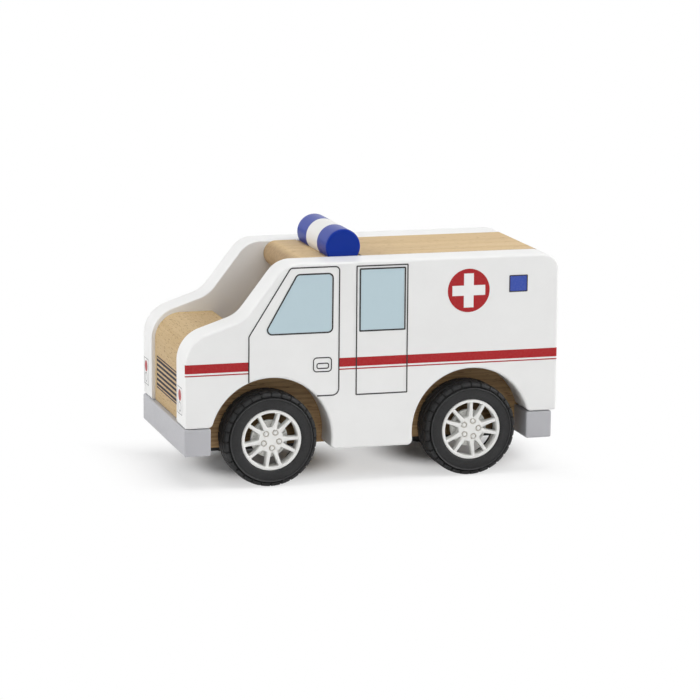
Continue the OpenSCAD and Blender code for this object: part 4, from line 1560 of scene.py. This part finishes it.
@dataclass
class Studio:
    """Floor, light and camera. Angles are in degrees and distances in metres.

    A dip of the floor's glow holds its place along X and Y, the distances where it starts to fade and ends,
    and its depth. A lamp holds its name, place, side and power in watts.
    """

    azimuth: float = 16.197
    elevation: float = 10.885
    roll: float = 0.413
    distance: float = 1.065033
    target: Triple = (0.0, -0.0005, 0.04)
    focal_px: float = 3097.44
    centre_px: Pair = (347.283, 346.826)
    image_px: float = 700.0
    sensor_mm: float = 36.0
    clip_end: float = 100
    floor_half: float = 4.0
    floor_white: float = 0.97
    floor_rough: float = 0.9
    floor_shine: float = 0.1
    floor_glow: float = 0.57
    floor_front: Pair = (0.06, 0.088)
    floor_rear: Pair = (-0.08, -0.048)
    floor_side: Pair = (0.02, 0.055)
    floor_dips: tuple[tuple[float, float, float, float, float], ...] = (
        (0.029, -0.008, 0.014, 0.034, 0.57), (-0.041, -0.009, 0.014, 0.034, 0.57),
        (0.053, 0.01, 0.004, 0.03, 0.1))
    sky: Pair = (0.02, 0.08)
    far_y: float = 0.2
    aim: Triple = (0.0, 0.0, 0.04)
    lamps: tuple[tuple[str, Triple, float, float], ...] = (
        ("side", (0.0, 1.5, 0.9), 1.3, 7.5), ("front", (1.5, -0.1, 0.8), 1.0, 16),
        ("top", (0.0, 0.1, 1.8), 1.4, 11), ("rear", (-1.4, 0.5, 1.0), 1.2, 19))

    def camera(self) -> None:
        """Stands the camera on its arm and aims it so that the picture's middle lies on its axis."""
        a, e, roll = (math.radians(v) for v in (self.azimuth, self.elevation, self.roll))
        back = Vector((math.sin(a) * math.cos(e), math.cos(a) * math.cos(e), math.sin(e)))
        place = Vector(self.target) + back * self.distance
        level = (-back).cross(Vector((0, 0, 1))).normalized()
        rise = level.cross(-back)
        right = level * math.cos(roll) + rise * math.sin(roll)
        up = rise * math.cos(roll) - level * math.sin(roll)
        off_x, off_y = ((self.image_px / 2 - c) / self.focal_px for c in self.centre_px)
        ahead = (-back + right * off_x - up * off_y).normalized()
        right = (right - ahead * right.dot(ahead)).normalized()
        up = right.cross(ahead)
        lens = bpy.data.cameras.new("camera")
        lens.sensor_width = self.sensor_mm
        lens.lens = self.focal_px / self.image_px * self.sensor_mm
        lens.clip_end = self.clip_end
        thing = Workshop.shown("camera", lens)
        turn = Matrix((right, up, -ahead)).transposed()
        thing.matrix_world = Matrix.Translation(place) @ turn.to_4x4()
        bpy.context.scene.camera = thing

    def floor(self) -> None:
        """Lays the pale floor, which glows for the camera: least under the axles, fully away from the toy."""
        h, white = self.floor_half, self.floor_white
        mesh = bpy.data.meshes.new("floor")
        mesh.from_pydata([(-h, -h, 0), (h, -h, 0), (h, h, 0), (-h, h, 0)], [], [(0, 1, 2, 3)])
        bench = NodeBench("white floor")
        bench.set(Base_Color=(white, white, white, 1), Roughness=self.floor_rough,
                  Specular_IOR_Level=self.floor_shine)
        x, y = bench.axis("X"), bench.math("ABSOLUTE", bench.axis("Y"))
        ends = bench.math("MAXIMUM", bench.span(x, self.floor_front, (0, 1), True),
                          bench.span(x, self.floor_rear, (1, 0), True))
        away = bench.math("MAXIMUM", ends, bench.span(y, self.floor_side, (0, 1), True))
        share = bench.span(away, (0, 1), (self.floor_glow, 1))
        for dip_x, dip_y, near, far, depth in self.floor_dips:
            off = bench.node("VectorMath")
            off.operation = "DISTANCE"
            bench.link(bench.coords, off.inputs[0])
            off.inputs[1].default_value = (dip_x, dip_y, 0)
            dip = bench.span(off.outputs["Value"], (near, far), (depth, 0), True)
            share = bench.math("SUBTRACT", share, dip)
        seen, blend = bench.node("LightPath").outputs["Is Camera Ray"], bench.node("MixShader")
        bench.link(bench.math("MULTIPLY", share, seen), blend.inputs[0])
        bench.link(bench.shader.outputs["BSDF"], blend.inputs[1])
        bench.link(bench.node("Emission").outputs["Emission"], blend.inputs[2])
        bench.link(blend.outputs[0], bench.output.inputs["Surface"])
        mesh.materials.append(bench.material)
        Workshop.shown("floor", mesh)

    def world(self) -> None:
        """A sky that grows from the horizon up, white to the camera and in reflections of the far side."""
        world = bpy.data.worlds.new("studio")
        world.use_nodes = True
        tree = world.node_tree

        def node(kind: str, *inputs: Socket | float, operation: str = "") -> bpy.types.Node:
            """A node with its first inputs joined to sockets or set to numbers."""
            made = tree.nodes.new("ShaderNode" + kind)
            if operation:
                made.operation = operation
            for socket, value in zip(made.inputs, inputs):
                if isinstance(value, Socket):
                    tree.links.new(value, socket)
                else:
                    socket.default_value = value
            return made

        way = node("SeparateXYZ", node("TexCoord").outputs["Generated"])
        rise = node("MapRange", way.outputs["Z"], 0.0, 1.0, *self.sky)
        path = node("LightPath").outputs
        behind = node("Math", way.outputs["Y"], self.far_y, operation="LESS_THAN")
        mirrored = node("Math", path["Is Glossy Ray"], behind.outputs[0], operation="MULTIPLY")
        white = node("Math", path["Is Camera Ray"], mirrored.outputs[0], operation="MAXIMUM")
        strength = node("Mix", white.outputs[0])
        tree.links.new(rise.outputs["Result"], strength.inputs[2])
        strength.inputs[3].default_value = 1
        sky = tree.nodes["Background"]
        sky.inputs["Color"].default_value = (1, 1, 1, 1)
        tree.links.new(strength.outputs[0], sky.inputs["Strength"])
        bpy.context.scene.world = world

    def lamp(self, name: str, place: Triple, size: float, power: float) -> None:
        """Hangs a square soft lamp that faces the toy's middle.

        Args:
            name: the lamp's name.
            place: where it hangs.
            size: its side.
            power: its power in watts.
        """
        light = bpy.data.lights.new(name, "AREA")
        light.size = size
        light.energy = power
        thing = Workshop.shown(name, light)
        thing.location = place
        thing.rotation_euler = (Vector(self.aim) - Vector(place)).to_track_quat("-Z", "Y").to_euler()

    def build(self) -> None:
        """Sets up the whole studio."""
        self.floor()
        self.world()
        for lamp in self.lamps:
            self.lamp(*lamp)
        self.camera()
        bpy.context.scene.view_settings.view_transform = "Standard"


def main() -> None:
    """Builds the toy and its studio."""
    logging.basicConfig(level=logging.INFO, format="%(message)s")
    Studio().build()
    for side in Side:
        panel = SidePanel(side)
        panel.build()
        PanelPrint(panel).build()
    FrontPrint().build()
    Core().build()
    Bumpers().build()
    LightBar().build()
    RunningGear().build()
    WheelSet("front", Body.FRONT, 35.3, 23.0).build()
    WheelSet("rear", Body.REAR, -34.5, 39.0).build()


if __name__ == "__main__":
    main()
